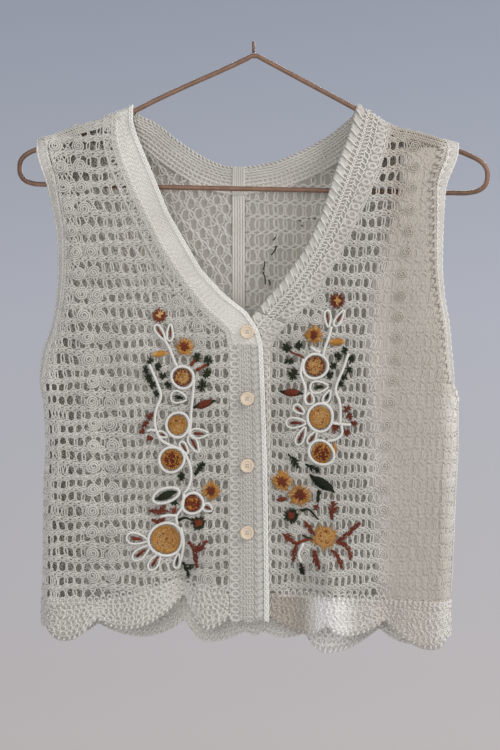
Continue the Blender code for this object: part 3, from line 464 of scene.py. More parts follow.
def bandStrip(stations, face, side, across=6, step=2.5):  # between a free edge and a seam
    rows = []
    for edgeX, edgeDrop, seamX, seamDrop in stations:
        rows.append((edgeX, edgeDrop or float(ridgeDrop(edgeX)), seamX, seamDrop or float(ridgeDrop(seamX))))
    rows = spacedRows(rows, step)
    share = np.linspace(0, 1, across + 1)
    reach = rows[:, None, 0] + (rows[:, None, 2] - rows[:, None, 0]) * share
    drop = rows[:, None, 1] + (rows[:, None, 3] - rows[:, None, 1]) * share
    return clothStrip(face, reach, drop, side)


def onStrip(strip, flat):  # flat: along in mm, share across, lift in mm
    base, out = strip["base"], strip["out"]
    i = np.interp(flat[:, 0], strip["at"], np.arange(len(strip["at"])))
    j = np.clip(flat[:, 1], 0, 1) * (base.shape[1] - 1)
    iLow, jLow = np.minimum(i.astype(int), len(base) - 2), np.minimum(j.astype(int), base.shape[1] - 2)
    a, b = (i - iLow)[:, None], (j - jLow)[:, None]

    def between(grid):
        return ((grid[iLow, jLow] * (1 - a) + grid[iLow + 1, jLow] * a) * (1 - b)
                + (grid[iLow, jLow + 1] * (1 - a) + grid[iLow + 1, jLow + 1] * a) * b)
    return between(base) + between(out) * flat[:, 2:3]


def keepMesh(work, name):  # the finished bmesh as a smooth object
    mesh = bpy.data.meshes.new(name)
    work.to_mesh(mesh)
    work.free()
    mesh.shade_smooth()
    return bpy.data.objects.new(name, mesh)


def shellPiece(name, strip, finish, replaced, thickness, lift=0.0):  # thin knitted ground on a strip
    rows, columns = len(strip["at"]) - 1, strip["base"].shape[1] - 1
    work = bmesh.new()
    bmesh.ops.create_grid(work, x_segments=rows, y_segments=columns, size=0.5)
    lay = work.loops.layers.uv.new("UVMap")
    flat = np.array([(v.co.x + 0.5, v.co.y + 0.5) for v in work.verts])
    along = flat[:, 0] * strip["at"][-1]
    placed = onStrip(strip, np.column_stack([np.interp(flat[:, 0] * rows, np.arange(rows + 1), strip["at"]),
                                             flat[:, 1], np.full(len(flat), lift)]))
    width = float(strip["width"].mean())
    work.verts.ensure_lookup_table()
    for face in work.faces:
        for loop in face.loops:
            k = loop.vert.index
            loop[lay].uv = (along[k] * mm, flat[k, 1] * width * mm)
    for v, place in zip(work.verts, placed):
        v.co = place
    middle = strip["base"].shape[0] // 2
    outward = strip["out"][middle, columns // 2]
    work.normal_update()
    total = sum((face.normal for face in work.faces), start=Vector())
    if total.dot(Vector(outward)) < 0:
        bmesh.ops.reverse_faces(work, faces=work.faces)
    made = keepMesh(work, name)
    thick = made.modifiers.new("thickness", "SOLIDIFY")
    thick.thickness = thickness * mm
    thick.offset = 0.0
    keepPiece(made, finish, replaced)
    counted[name] *= 2
    return made


# stitches are drawn flat first: how far along a strip, share across it, and lift off it
def wavy(start, stop, share, sway, pitch, lift, phase=0.0, steps=4, thick=1.0):  # a swaying strand
    at = np.arange(start, stop, pitch / steps)
    turn = 2 * math.pi * at / pitch + phase
    points = np.column_stack([at, share + sway * np.cos(turn), lift + 0.4 * np.sin(turn)])
    return (points, False, np.full(len(points), thick))


def twined(start, stop, share, sway, pitch, lifts, thick):  # two swaying strands that cross
    return [wavy(start, stop, share, sway, pitch, lift, phase, thick=thick)
            for lift, phase in zip(lifts, (0.0, math.pi))]


def loose(start, stop, shares, sway, pitches, lift):  # swaying strands, each with its own pitch and phase
    return [wavy(start, stop, share, sway, dice.uniform(*pitches), lift, dice.uniform(0, 6.3))
            for share in np.linspace(*shares)]


def slants(strip, share, spread, pitch, lift, lean, rise, wild=0.0, thick=1.0):  # slanted short strands
    t = np.linspace(-1, 1, 6)
    made = []
    for at in np.arange(pitch / 2, strip["at"][-1], pitch):
        size = dice.uniform(0.93 - wild * 0.2, 1.07 + wild * 0.1)
        way = lean * (1 - wild * dice.uniform(0, 2))
        points = np.column_stack([at + way * t * size + wild * dice.uniform(-1, 1),
                                  share + (spread * t + wild * dice.uniform(-0.03, 0.03)) * size,
                                  lift + rise * (1 - t ** 2) * (1 - wild * dice.uniform(0, 0.8))])
        made.append((points, False, thick * np.array([0.55, 0.92, 1.05, 1.05, 0.92, 0.55])))
    return made


def coins(strip, share, pitch, radius, lift, start=0.0, wide=1.0, thick=1.0):  # a column of rings
    turn = np.linspace(0, 2 * math.pi, 9)[:-1]
    made = []
    for at in np.arange(start + pitch / 2, strip["at"][-1], pitch):
        width = float(np.interp(at, strip["at"], strip["width"]))
        size = dice.uniform(0.92, 1.08)
        made.append((np.column_stack([at + radius * size * np.sin(turn),
                                      share + radius * wide * size * np.cos(turn) / width,
                                      lift + 0.35 * np.sin(turn)]), True, np.full(len(turn), thick)))
    return made


def rungs(strip, low, high, pitch, lift, rise, lean=0.0, thick=1.0):  # bars across part of a strip
    t = np.linspace(0, 1, 5)
    made = []
    for at in np.arange(pitch / 2, strip["at"][-1], pitch):
        jitter = dice.uniform(-0.08, 0.08) * pitch
        made.append((np.column_stack([at + jitter + lean * (t - 0.5), low + (high - low) * t,
                                      lift + rise * np.sin(math.pi * t)]), False, np.full(len(t), thick)))
    return made


# openwork panels: rows of chain with worked posts between them
lace = {
    "yarn": 1.6, "backYarn": 2.5, "groundWall": 0.5,
    "lowestRow": 521.0, "rowPitch": 12.8, "upperRowPitch": 14.2, "upperRowsFrom": 300.0,
    "columns": {right: 14, left: 16}, "outerPitch": {right: 7.7, left: 6.8}, "rosetteRoom": 8.9,
    "opening": {right: 22.3, left: 15.6},
    # drop, reach of the two lines of rosettes
    "innerLine": {
        right: [(97, 164), (136, 160.4), (176, 155), (219, 147.4), (261, 141.8), (299, 137.7),
                (337, 134), (372, 131.6), (447, 132), (521, 129.7)],
        left: [(97, 151.6), (124, 149.3), (145, 146.5), (166.5, 145.5), (189, 142.8), (207, 140),
               (241.7, 136.2), (279, 132.5), (316, 128.8), (353.4, 125), (390.6, 121.4), (521, 116)]},
    "outerLine": {
        right: [(97, 185.5), (118, 180), (156, 172.5), (198, 165), (239, 158.6), (280, 154),
                (320, 150), (375, 148.3), (413, 148.3), (449, 149.7), (521, 149.3)],
        left: [(97, 169.3), (145, 164.2), (189, 160.5), (241.7, 153.9), (316, 146.5), (390.6, 139.1),
               (521, 133.7)]},
    # lines of rosettes: which line, how many, lift, thickness share
    "rosettes": {"first": 97.0, "pitch": 20.0, "radius": 6.6,
                 "lines": {right: [(0, 21, 0.6, 1.1), (1, 22, 1.2, 1.3)], left: [(0, 21, -0.15, 0.85)]}},
    # x, drop
    "spareRosettes": {
        right: [(-72, 244.5), (-70, 266), (-51.6, 266), (-49, 281), (-49, 386), (-43.3, 483.5),
                (-42.3, 501)],
        left: [(61.8, 241), (58, 259.5), (44.2, 260.4), (39.5, 276), (33, 368.7), (34.9, 385),
               (37.7, 454.7), (47, 477)]},
    # drop, reach of the seam with the neckband and the placket
    "openEdge": {
        right: [(50, 131), (84, 131.5), (98, 130), (113, 125.5), (138, 115.5), (169, 100), (196, 86),
                (223.5, 67.5), (250.6, 47.4), (262.4, 34), (271.5, 24), (284, 22), (540, 22)],
        left: [(50, 126), (95, 123.5), (119, 116), (153, 101.5), (178.5, 89), (201.5, 77), (222, 65),
               (240.5, 52), (253, 40), (263.9, 29), (273, 20.5), (284, 15.3), (540, 15.3)]},
    # x, drop of the seam with the back neckband
    "backEdge": [(-132, 40), (-131, 64), (-125.5, 84), (-115, 90.5), (-104, 97.5), (-88.5, 110),
                 (-72.5, 121), (-55, 131.5), (-35.5, 138.8), (-19.7, 141), (7, 138.7), (24, 136),
                 (52.5, 125.3), (69, 117), (86, 107), (103.5, 94), (118, 87), (126, 64), (127, 40)],
    "backMiddle": {right: 20.3, left: -8.1},
    # left side of the back: first column and pitch; right side: slanted rows and columns
    "backColumns": (0.3, 8.9),
    "backSlant": {"middle": (11, 16), "reach": 112, "drop": 330, "across": 9.3, "rise": 13.2, "level": 12.5},
    # drop, reach where the close knit of the left front begins
    "denseFrom": [(90, 143), (130, 141), (165, 135), (196, 124), (223, 116), (267, 110), (330, 109),
                  (423, 112), (504, 119), (521, 120)],
    # rows, and columns past the opening's, that the lattice of a front has
    "rows": 34, "columnsPast": 16,
    # posts: half width and half height, in columns and rows, and how often a dense place has one more
    "post": {"wide": 0.18, "wideByRosettes": 0.26, "tall": 0.34}, "morePost": {"wide": 0.2, "tall": 0.36},
    "postKinds": (["ring", "cross", "waist"], [4, 3, 3]), "moreOften": {right: 0.3, left: 0.65},
    "postLift": {"open": 0.1, "denseLeft": 1.0, "more": {right: -0.35, left: 0.8}},
    # first row, end row, end column, half width and kinds of the back's posts
    "backRows": {right: (-14, 40, 40, 0.3, ["cross", "waist"]), left: (0, 36, 27, 0.24, ["ring", "waist"])},
    # stitches beside the seams
    "openChain": {"inset": 1.2, "sway": 0.9, "pitch": 5.0, "lift": 0.8},
    "hemChain": {"inset": -2.6, "sway": 1.0, "pitch": 5.0, "lift": 0.7, "size": 1.2},
    "hemRings": {"inset": 0.2, "radius": 2.6, "pitch": 6.2, "lift": 1.0, "size": 1.15},
    "shoulderChain": {"sway": 1.1, "pitch": 5.0, "lift": 0.5},
    "shoulderLines": [(0.0, 1.3), (-3.2, 1.2), (-6.0, 1.1)],      # inset, size
    "armChain": {"inset": -1.4, "sway": 0.9, "pitch": 5.6, "lift": 0.8},
    "armLobes": {"inset": -3.6, "spread": 2.6, "pitch": 8.0, "lean": -1.4, "lift": 0.5, "size": 2.1},
    "openRings": {"inset": 5.2, "radius": 2.7, "pitch": 7.4, "lift": 0.9, "size": 1.05},
    "ringChain": {"inset": 9.2, "sway": 0.7, "pitch": 6.4, "lift": 0.8},
    # strands of a chain row: rise and sway in rows, turn, lift, thickness share
    "frontChain": [(0.20, 0.06, 0.0, 0.2, 1.0), (0.08, 0.03, math.pi, -0.3, 1.7), (0.0, 0.13, 0.0, 1.1, 1.05),
                   (-0.08, 0.03, 0.0, -0.3, 1.7), (-0.20, 0.06, math.pi, 0.2, 1.0)],
    "backChain": [(0.10, 0.08, 0.0, 0.1, 1.1), (-0.08, 0.08, math.pi, -0.1, 1.1)],
    "sink": 1.35,        # how far the close knit takes in its rows
    # x, drop
    "hemSeam": [(-202, 521), (-146, 520), (-110, 513), (-72, 500), (-60, 505), (-40, 511), (-20.9, 514),
                (15, 514), (70, 516), (130, 520), (192, 522)],
    "backHemSeam": [(-202, 524), (192, 524)],
}


def table(rows, at, value=1):
    return np.interp(at, [row[0] for row in rows], [row[value] for row in rows])


def rowDrop(row):
    change = (lace["lowestRow"] - lace["upperRowsFrom"]) / lace["rowPitch"]
    return lace["lowestRow"] - np.minimum(row, change) * lace["rowPitch"] \
        - np.maximum(row - change, 0) * lace["upperRowPitch"]


def rosetteReach(side, drop):
    return table(lace["innerLine"][side], drop), table(lace["outerLine"][side], drop)


def frontLattice(side, column, row):
    room, count = lace["rosetteRoom"], lace["columns"][side]
    drop = rowDrop(row) + 1.1 * np.sin(0.55 * column + 1.7 * row) + 0.7 * np.sin(1.9 * column - 0.8 * row)
    inner, outer = rosetteReach(side, drop)
    start = lace["opening"][side]
    reach = np.where(
        column <= count, start + (inner - room - start) * column / count,
        np.where(column <= count + 1, inner + (column - count - 1) * room,
                 np.where(column <= count + 3, inner + (outer - inner) * (column - count - 1) / 2,
                          outer + np.minimum(column - count - 3, 1) * room
                          + np.maximum(column - count - 4, 0) * lace["outerPitch"][side])))
    return side * (reach + 0.45 * np.sin(2.3 * row + 0.9 * column)), drop


def backLattice(side, column, row):
    if side == right:
        slant = lace["backSlant"]
        fromColumn, fromRow = slant["middle"]
        rise = 0.62 * (column - fromColumn) + row * 0.78
        across = (column - fromColumn) * 0.86 - (row - fromRow) * 0.5
        reach = slant["reach"] + across * slant["across"]
        drop = slant["drop"] - (rise - slant["level"]) * slant["rise"]
    else:
        first, pitch = lace["backColumns"]
        reach = lace["backMiddle"][left] + (column + first) * pitch
        drop = rowDrop(row)
    drop = drop + 0.9 * np.sin(0.6 * column + 1.3 * row) + 0.5 * np.sin(1.7 * column - row)
    return side * (reach + 0.4 * np.sin(2.1 * row + column)), drop


def sideLimit(side, face, drop):  # the armhole band takes the last of the cloth above the underarm
    band = form["armBand"] * (1 - ease((drop - 318) / 14)) + 0.4
    return edgeReach(side, face, drop) - band


def inPanel(face, side, reach, drop, spare=0.0):
    along = side * reach
    room = (along <= sideLimit(side, face, drop) + spare) & (drop >= ridgeDrop(reach) - spare)
    if face == front:
        room &= drop <= table(lace["hemSeam"], reach) + spare
        return room & (along >= table(lace["openEdge"][side], drop) - spare)
    room &= drop <= table(lace["backHemSeam"], reach) + spare
    room &= along >= lace["backMiddle"][side] - spare
    return room & (drop >= table(lace["backEdge"], reach) - spare)


def intoPanel(face, side, reach, drop):  # brings stray ends back to the seams
    drop = np.maximum(drop, ridgeDrop(reach) + 0.2)
    if face == front:
        drop = np.minimum(drop, table(lace["hemSeam"], reach))
        lowest = table(lace["openEdge"][side], drop)
    else:
        drop = np.minimum(drop, table(lace["backHemSeam"], reach))
        drop = np.maximum(drop, np.where(side * reach < 133, table(lace["backEdge"], reach), 0))
        lowest = lace["backMiddle"][side]
    return side * np.clip(side * reach, lowest, sideLimit(side, face, drop)), drop


def panelLay(face, side, lattice):
    def lay(flat):
        reach, drop = lattice(side, flat[:, 0], flat[:, 1])
        reach, drop = intoPanel(face, side, reach, drop)
        lift = flat[:, 2]
        if face == front and side == left:     # the close knit swallows most of its rows
            lift = lift - lace["sink"] * ease((reach - table(lace["denseFrom"], drop) + 4) / 12)
        return onCloth(face, reach, drop, lift, side)
    return lay


def postLoop(column, row, wide, tall, lift, kind):  # one worked post between two chain rows
    lean = dice.uniform(-0.07, 0.07)
    wide *= dice.uniform(0.8, 1.15)
    if kind == "ring":
        turn = np.linspace(0, 2 * math.pi, 9)[:-1] + dice.uniform(-0.2, 0.2)
        up = np.cos(turn) * tall
        return [(np.column_stack([column + np.sin(turn) * wide + lean * up / tall, row + up,
                                  lift + 0.35 * np.sin(turn + 0.6)]), True, None)]
    t = np.linspace(-1, 1, 5)
    if kind == "cross":
        sway = np.sin(t * math.pi / 2) * wide
    else:                                                      # waisted
        sway = wide * (0.35 + 0.65 * t ** 2)
    bent = 0.35 * np.cos(t * math.pi)
    first = np.column_stack([column + sway + lean * t, row + t * tall, lift + bent])
    second = np.column_stack([column - sway + lean * t, row + t * tall, lift - bent])
    return [(first, False, None), (second, False, None)]


def rowRuns(face, side, lattice, row, last, steps, spare):  # the stretches of a row that lie on the panel
    columns = np.arange(-14 * steps, last * steps + 1) / steps
    reach, drop = lattice(side, columns, np.full(len(columns), row))
    inside = inPanel(face, side, reach, drop, spare)
    runs, start = [], None
    for k, here in enumerate([*inside, False]):
        if here and start is None:
            start = k
        elif not here and start is not None:
            if k - start > 2:
                runs.append(columns[start:k])
            start = None
    return runs


def chainRow(face, side, lattice, row, last, strands, steps=4):
    made = []
    for columns in rowRuns(face, side, lattice, row, last, steps, 1.2):
        turn = 2 * math.pi * columns
        for rise, sway, phase, lift, share in strands:
            made.append((np.column_stack([
                columns, row + rise + sway * np.cos(turn + phase) + 0.012 * np.sin(turn * 0.37 + row),
                lift + 0.35 * np.sin(turn + phase)]), False, np.full(len(columns), share)))
    return made


def rosette(face, side, reach, drop, radius, lift, thick, turns=2.7):
    turn = np.linspace(0, 2 * math.pi * turns, int(turns * 10) + 1) + dice.uniform(0, 6.28)
    out = np.linspace(0.16, 1.0, len(turn))
    away = radius * out * (1 + 0.05 * np.sin(3 * turn))
    points = onCloth(face, reach + away * np.cos(turn), drop + away * np.sin(turn),
                     lift + 0.9 * (1 - out ** 2) + 0.15 * np.sin(5 * turn), side)
    return (points, False, np.full(len(points), thick))


def evenly(points, step):  # evenly stepped points along a line
    points = np.asarray(points, float)
    at = np.concatenate([[0], np.cumsum(np.linalg.norm(np.diff(points, axis=0), axis=1))])
    fine = np.linspace(0, at[-1], max(int(at[-1] / step), 2) + 1)
    return np.column_stack([np.interp(fine, at, points[:, k]) for k in range(points.shape[1])])


def waysOf(path):  # unit steps along a path and away from it
    along = np.gradient(path, axis=0)
    along /= np.linalg.norm(along, axis=1)[:, None]
    return along, np.column_stack([along[:, 1], -along[:, 0]])


def edgeChain(face, side, line, inset, sway, pitch, lift, size=1.0):  # two strands that follow a seam
    path = evenly(line, pitch / 4)
    for _ in range(2):
        path[1:-1] = path[1:-1] * 0.5 + (path[:-2] + path[2:]) * 0.25
    away = waysOf(path)[1]
    made = []
    for phase in (0, math.pi):
        turn = 2 * math.pi * np.arange(len(path)) / 4 + phase
        flat = path + away * (inset * side + sway * np.cos(turn))[:, None]
        points = onCloth(face, flat[:, 0], flat[:, 1], lift + 0.45 * np.sin(turn), side)
        made.append((points, False, np.full(len(points), size)))
    return made


def edgeRings(face, side, line, inset, radius, pitch, lift, size):  # small loops in a row along a seam
    path = evenly(line, pitch)
    turn = np.linspace(0, 2 * math.pi, 9)[:-1]
    made = []
    for place, way, out in zip(path, *waysOf(path)):
        grow = dice.uniform(0.9, 1.1)
        flat = place + out * (inset * side) + np.outer(np.cos(turn) * radius * grow, out) \
            + np.outer(np.sin(turn) * radius * 0.9, way)
        made.append((onCloth(face, flat[:, 0], flat[:, 1], lift + 0.35 * np.sin(turn), side), True,
                     np.full(len(turn), size)))
    return made


def edgeLobes(face, side, line, inset, spread, pitch, lean, lift, size):  # slanted lobes beside a seam
    path = evenly(line, pitch)
    t = np.linspace(-1, 1, 5)[:, None]
    made = []
    for place, way, away in zip(path, *waysOf(path)):
        flat = place + away * (inset * side) + t * (away * spread + way * lean) * dice.uniform(0.9, 1.1)
        made.append((onCloth(face, flat[:, 0], flat[:, 1], lift + 0.5 * (1 - t[:, 0] ** 2), side), False,
                     size * np.array([0.7, 1, 1.05, 1, 0.7])))
    return made


def openLine(side):  # the seam with the neckband and the placket, from the shoulder down
    return [(side * reach, drop if drop > 51 else float(ridgeDrop(side * reach)) + 1)
            for drop, reach in lace["openEdge"][side] if drop < 510]


def shoulderLine(side):
    end = 195 if side == right else 184
    return [(side * reach, float(ridgeDrop(side * reach)) + 2.2) for reach in np.linspace(127, end, 14)]


def armLine(side):
    drops = np.arange(100, 520, 8.0)
    return [(side * float(sideLimit(side, front, drop)), drop) for drop in drops]


def groundRows(side):  # level rows of the back, from the middle or the neck to the side or the shoulder
    drops = np.concatenate([np.arange(523.5, 146, -6.0), [143.2, 141.2], np.arange(139.5, 64, -3.0)])
    fine = np.arange(-9.0 if side == left else 19.4, 215.0, 0.5)
    rows = []
    for drop in drops:
        reach = side * fine
        inside = inPanel(back, side, reach, np.full(len(fine), drop), 1.0)
        if inside.sum() > 6:
            spots = fine[inside]
            rows.append((spots[0], spots[-1], drop))
    return rows


def backGround(side):
    rows = groundRows(side)
    share = np.linspace(0, 1, 25)
    reach = side * np.array([[low + (high - low) * s for s in share] for low, high, _ in rows])
    drop = np.repeat(np.array([row[2] for row in rows])[:, None], len(share), axis=1)
    name = sideNames[side]
    return shellPiece("backGround" + name, clothStrip(back, reach, drop, side), "deep",
                      ["back_" + name.lower()], lace["groundWall"])


def denseGround():  # the close brushed knit of the left front, behind its softer stitches
    drops = np.append(np.arange(98.0, 521, 6.0), 523.0)
    share = np.linspace(0, 1, 13)
    low = softCurve(lace["denseFrom"])(drops) - 5
    high = sideLimit(left, front, drops) - 0.5
    reach = low[:, None] + (high - low)[:, None] * share
    drop = np.repeat(drops[:, None], len(share), axis=1)
    return shellPiece("denseGroundLeft", clothStrip(front, reach, drop, left), "brushed", ["front_left"],
                      lace["groundWall"], lift=-0.3)


def frontLace(side):
    name = "laceFront" + sideNames[side]
    count, post, more, lifts = lace["columns"][side], lace["post"], lace["morePost"], lace["postLift"]
    last = count + lace["columnsPast"]
    flat, filling = [], []
    for row in range(lace["rows"]):
        flat += chainRow(front, side, frontLattice, row, last, lace["frontChain"])
    spots = [(column, row) for row in range(lace["rows"]) for column in range(1 - count, last)]
    for column, row in spots:
        reach, drop = frontLattice(side, float(column), row + 0.5)
        if not inPanel(front, side, reach, drop, 0.6):
            continue
        kind = dice.choices(*lace["postKinds"])[0]
        wide = post["wide"] if column <= count or column >= count + 4 else post["wideByRosettes"]
        if column in (count + 1, count + 3):       # beside the rosettes
            kind = "cross"
        dense = column > count + 5 if side == right else reach > table(lace["denseFrom"], drop) - 5
        edge = side * reach > sideLimit(side, front, drop) - 17
        lift = lifts["denseLeft"] if dense and side == left else lifts["open"]
        (filling if dense else flat).extend(postLoop(column, row + 0.5, wide, post["tall"], lift, kind))
        if (dense and dice.random() < lace["moreOften"][side]) or edge:
            filling += postLoop(column + 0.5, row + 0.5, more["wide"], more["tall"], lifts["more"][side],
                                "cross")
    node, finish = "front_" + sideNames[side].lower(), "lace" if side == right else "laceLeft"
    openwork = yarnPiece(name, laid(flat, panelLay(front, side, frontLattice)), lace["yarn"], finish,
                         replaced=[node])
    strands, rosettes = laid(filling, panelLay(front, side, frontLattice)), lace["rosettes"]
    for line, number, lift, thick in rosettes["lines"][side]:
        for k in range(number):
            drop = rosettes["first"] + k * rosettes["pitch"] + dice.uniform(-1, 1)
            reach = side * (float(rosetteReach(side, drop)[line]) + dice.uniform(-0.7, 0.7))
            if inPanel(front, side, reach, drop, -3) and drop < float(table(lace["hemSeam"], reach)) - 4:
                strands.append(rosette(front, side, reach, drop, rosettes["radius"], lift, thick))
    for x, drop in lace["spareRosettes"][side]:
        strands.append(rosette(front, side, x, drop, rosettes["radius"] * 0.95, 0.8, 1.0))
    hemEnd = 200 if side == right else 122
    hem = [(x, float(table(lace["hemSeam"], x))) for x in np.arange(24, hemEnd, 4.0) * side]
    strands += edgeChain(front, side, openLine(side), **lace["openChain"])
    strands += edgeChain(front, side, hem, **lace["hemChain"])
    strands += edgeRings(front, side, hem, **lace["hemRings"])
    for inset, size in lace["shoulderLines"]:
        strands += edgeChain(front, side, shoulderLine(side), inset, size=size, **lace["shoulderChain"])
    strands += edgeChain(front, side, armLine(side), **lace["armChain"])
    if side == left:
        strands += edgeLobes(front, side, armLine(side)[:30], **lace["armLobes"])
    if side == right:
        strands += edgeRings(front, side, openLine(side)[:-2], **lace["openRings"])
        strands += edgeChain(front, side, openLine(side)[:-2], **lace["ringChain"])
    worked = yarnPiece(name.replace("lace", "filling"), strands, lace["yarn"], finish, replaced=[node])
    return openwork, worked


def backLace(side):
    low, high, last, wide, kinds = lace["backRows"][side]
    flat = []
    for row in range(low, high):
        flat += chainRow(back, side, backLattice, row, last, lace["backChain"])
        for column in range(-14, last):
            reach, drop = backLattice(side, float(column), row + 0.5)
            if inPanel(back, side, reach, drop, 0.6):
                flat += postLoop(column, row + 0.5, wide, lace["morePost"]["tall"], lace["postLift"]["open"],
                                 dice.choice(kinds))
    name = sideNames[side]
    return yarnPiece("laceBack" + name, laid(flat, panelLay(back, side, backLattice)), lace["backYarn"],
                     "backYarn", replaced=["back_" + name.lower()])


stage("openwork panels")
for side in (right, left):
    openwork, worked = frontLace(side)
    [worked] if side == right else [worked, denseGround()]
    backGround(side)
    backLace(side)


# dense bands: neck, opening, armholes, centre back
bands = {
    # edge x, edge drop, seam x, seam drop; a drop of 0 lies on the shoulder's ridge
    "neckRight": [
        (-113.5, 0, -131, 0), (-113.6, 74, -131.5, 84), (-109.5, 88, -130, 98), (-102.2, 105, -125.5, 113),
        (-91.6, 130.7, -115.5, 138), (-79.5, 160.7, -100, 169), (-65.6, 185, -86, 196),
        (-48.3, 214.8, -67.5, 223.5), (-27.4, 237.1, -47.4, 250.6), (-6, 253.8, -34, 262)],
    "neckLeft": [
        (97.5, 0, 126, 0), (88.5, 88, 123.5, 95), (79.5, 111, 116, 119), (69.3, 143.7, 101.5, 153),
        (61.5, 166.9, 89, 178.5), (50.7, 189.7, 77, 201.5), (38.3, 208.3, 65, 222),
        (26, 225.5, 52, 240.5), (12.1, 240.8, 40, 253), (2.9, 251.7, 29, 263.5)],
    "neckBack": [
        (-113.5, 0, -131, 0), (-108, 66.5, -125.5, 84), (-100, 69.2, -115, 90.5), (-89.5, 74.5, -104, 97.5),
        (-74.2, 86.9, -88.5, 110), (-59.5, 97.3, -72.5, 121), (-44.3, 106.4, -55, 131.5),
        (-29, 112.6, -35.5, 138.8), (-19.7, 114, -19.7, 141), (-8.7, 113.8, -8.7, 140.8), (5, 112, 7, 138.7),
        (19.5, 109.4, 24, 136), (42.4, 100.2, 52.5, 125.3), (57.6, 92.6, 69, 117), (72.8, 83.6, 86, 107),
        (88, 71.6, 103.5, 94), (94, 66.5, 118, 87), (97.5, 0, 126, 0)],
    "placketTop": [
        (-6, 254.2, -34, 262.4), (4.2, 269.6, -24, 271.5), (7.9, 284, -22, 284), (10, 332, -22, 332),
        (11.6, 384, -22, 384), (12.6, 436, -22, 436), (13.3, 488, -22, 488), (13.5, 514, -22, 514),
        (13.5, 541, -22, 539)],
    "placketUnder": [
        (2.9, 252.1, 29, 263.9), (-6, 262.2, 20.5, 273), (-16, 279, 15.3, 284), (-18, 332, 15.3, 332),
        (-18, 384, 15.3, 384), (-18, 436, 15.3, 436), (-18, 488, 15.3, 488), (-18, 514, 15.3, 514),
        (-18, 538, 15.3, 536)],
    "centre": [(-8.2, 141.4, -20.2, 141.4), (-8.2, 300, -20.2, 300), (-8.2, 523, -20.2, 523)],
    "shell": 1.3, "stitch": 1.5,
}


def lobeRow(strip, share, pitch, along, across, height, lift, lean):  # places and sizes of flat lobes
    made = []
    for at in np.arange(pitch / 2, strip["at"][-1] - along * 0.6, pitch):
        size = dice.uniform(0.93, 1.06)
        made.append((at + dice.uniform(-0.2, 0.2), share, along * size, across * size, height, lift, lean))
    return made


def lobePiece(name, strip, lobes, finish, node):  # each lobe is a ball pressed flat onto the strip
    work = bmesh.new()
    balls, flat = [], []
    for at, share, along, across, height, lift, lean in lobes:
        width = float(np.interp(at, strip["at"], strip["width"]))
        for v in bmesh.ops.create_uvsphere(work, u_segments=8, v_segments=6, radius=1.0)["verts"]:
            balls.append(v)
            dish = 1 - 0.75 * (1 - v.co.x ** 2 - v.co.y ** 2) ** 2 if v.co.z > 0 else 1
            flat.append((at + v.co.x * along + v.co.y * lean, share + v.co.y * across / width,
                         lift + v.co.z * height * dish))
    for v, place in zip(balls, onStrip(strip, np.array(flat))):
        v.co = place
    bmesh.ops.recalc_face_normals(work, faces=work.faces)
    return keepPiece(keepMesh(work, name), finish, [node])


def bandPiece(name, strip, strands, node, thickness=None, ground="band", lift=0.0, yarn="band", rings=(),
              lobes=(), roped="rope", edging=()):
    def lay(flat):
        return onStrip(strip, flat)

    shell = shellPiece(name + "Ground", strip, ground, [node], thickness or bands["shell"], lift)
    worked = [yarnPiece(name + "Stitches", laid(strands, lay), bands["stitch"], yarn, replaced=[node])]
    if rings:
        worked.append(yarnPiece(name + "Rings", laid(rings, lay), bands["stitch"], roped, sides=8,
                                replaced=[node]))
    if lobes:
        worked.append(lobePiece(name + "Lobes", strip, lobes, roped, node))
    worked += edging


# Shares run across a band, from its free edge to its seam; the rest is in millimetres.
plain = {
    "width": 0.024,
    "edge": {"share": 0.125, "spread": 0.035, "pitch": 3.9, "lift": 0.7, "lean": -1.9, "rise": 0.6,
             "thick": 0.95},
    "field": {"shares": (0.22, 0.72, 8), "sway": 0.022, "pitches": (4.0, 5.4), "lift": 0.35},
    "zigzag": {"share": 0.86, "sway": 0.07, "pitch": 7.4, "lifts": (1.0, 0.6), "thick": 1.15},
    "seam": {"low": 0.93, "high": 1.0, "pitch": 3.7, "lift": 0.7, "rise": 0.3},
}


def plainRight():  # smooth band with a corded edge and a zigzag along its seam
    strip = bandStrip(bands["neckRight"] + bands["placketTop"][1:3], front, right)   # on to the top button
    long = strip["at"][-1]
    made = slants(strip, **plain["edge"]) + loose(0, long, **plain["field"])
    made += twined(0, long, **plain["zigzag"]) + rungs(strip, **plain["seam"])
    bandPiece("neckbandRight", strip, made, "neckband_right")


roped = {
    "width": 0.033, "groundLift": -0.4,
    "inner": {"low": 0.255, "high": 0.35, "pitch": 4.2, "lift": 0.7, "rise": 0.3, "lean": 1.6},
    "zigzag": {"share": 0.375, "sway": 0.04, "pitch": 5.6, "lifts": (1.2, 0.7), "thick": 1.15},
    "mesh": [{"low": 0.43, "high": 0.56, "pitch": 3.6, "lift": 0.5, "rise": 0.6, "lean": -2.2},
             {"low": 0.52, "high": 0.66, "pitch": 5.4, "lift": 0.9, "rise": 0.5, "lean": 2.6}],
    "ribs": [{"share": 0.555, "sway": 0.02, "pitch": 5.4, "lift": 1.0, "thick": 1.05},
             {"share": 0.69, "sway": 0.02, "pitch": 5, "lift": 1.1, "thick": 1.05},
             {"share": 0.985, "sway": 0.012, "pitch": 8, "lift": 0.6}],
    "coins": {"share": 0.84, "pitch": 8.0, "radius": 2.9, "lift": 0.2, "wide": 1.2, "thick": 2.1},
    "rope": {"share": 0.14, "spread": 0.15, "pitch": 8.3, "lift": 1.0, "lean": 3.4, "rise": 0.9,
             "thick": 1.25},
    "ropeShift": 4.15,      # puts the rope's strands between its lobes
    "lobes": {"share": 0.14, "pitch": 8.3, "along": 4.6, "across": 5.4, "height": 2.0, "lift": 0.2,
              "lean": 2.6},
}


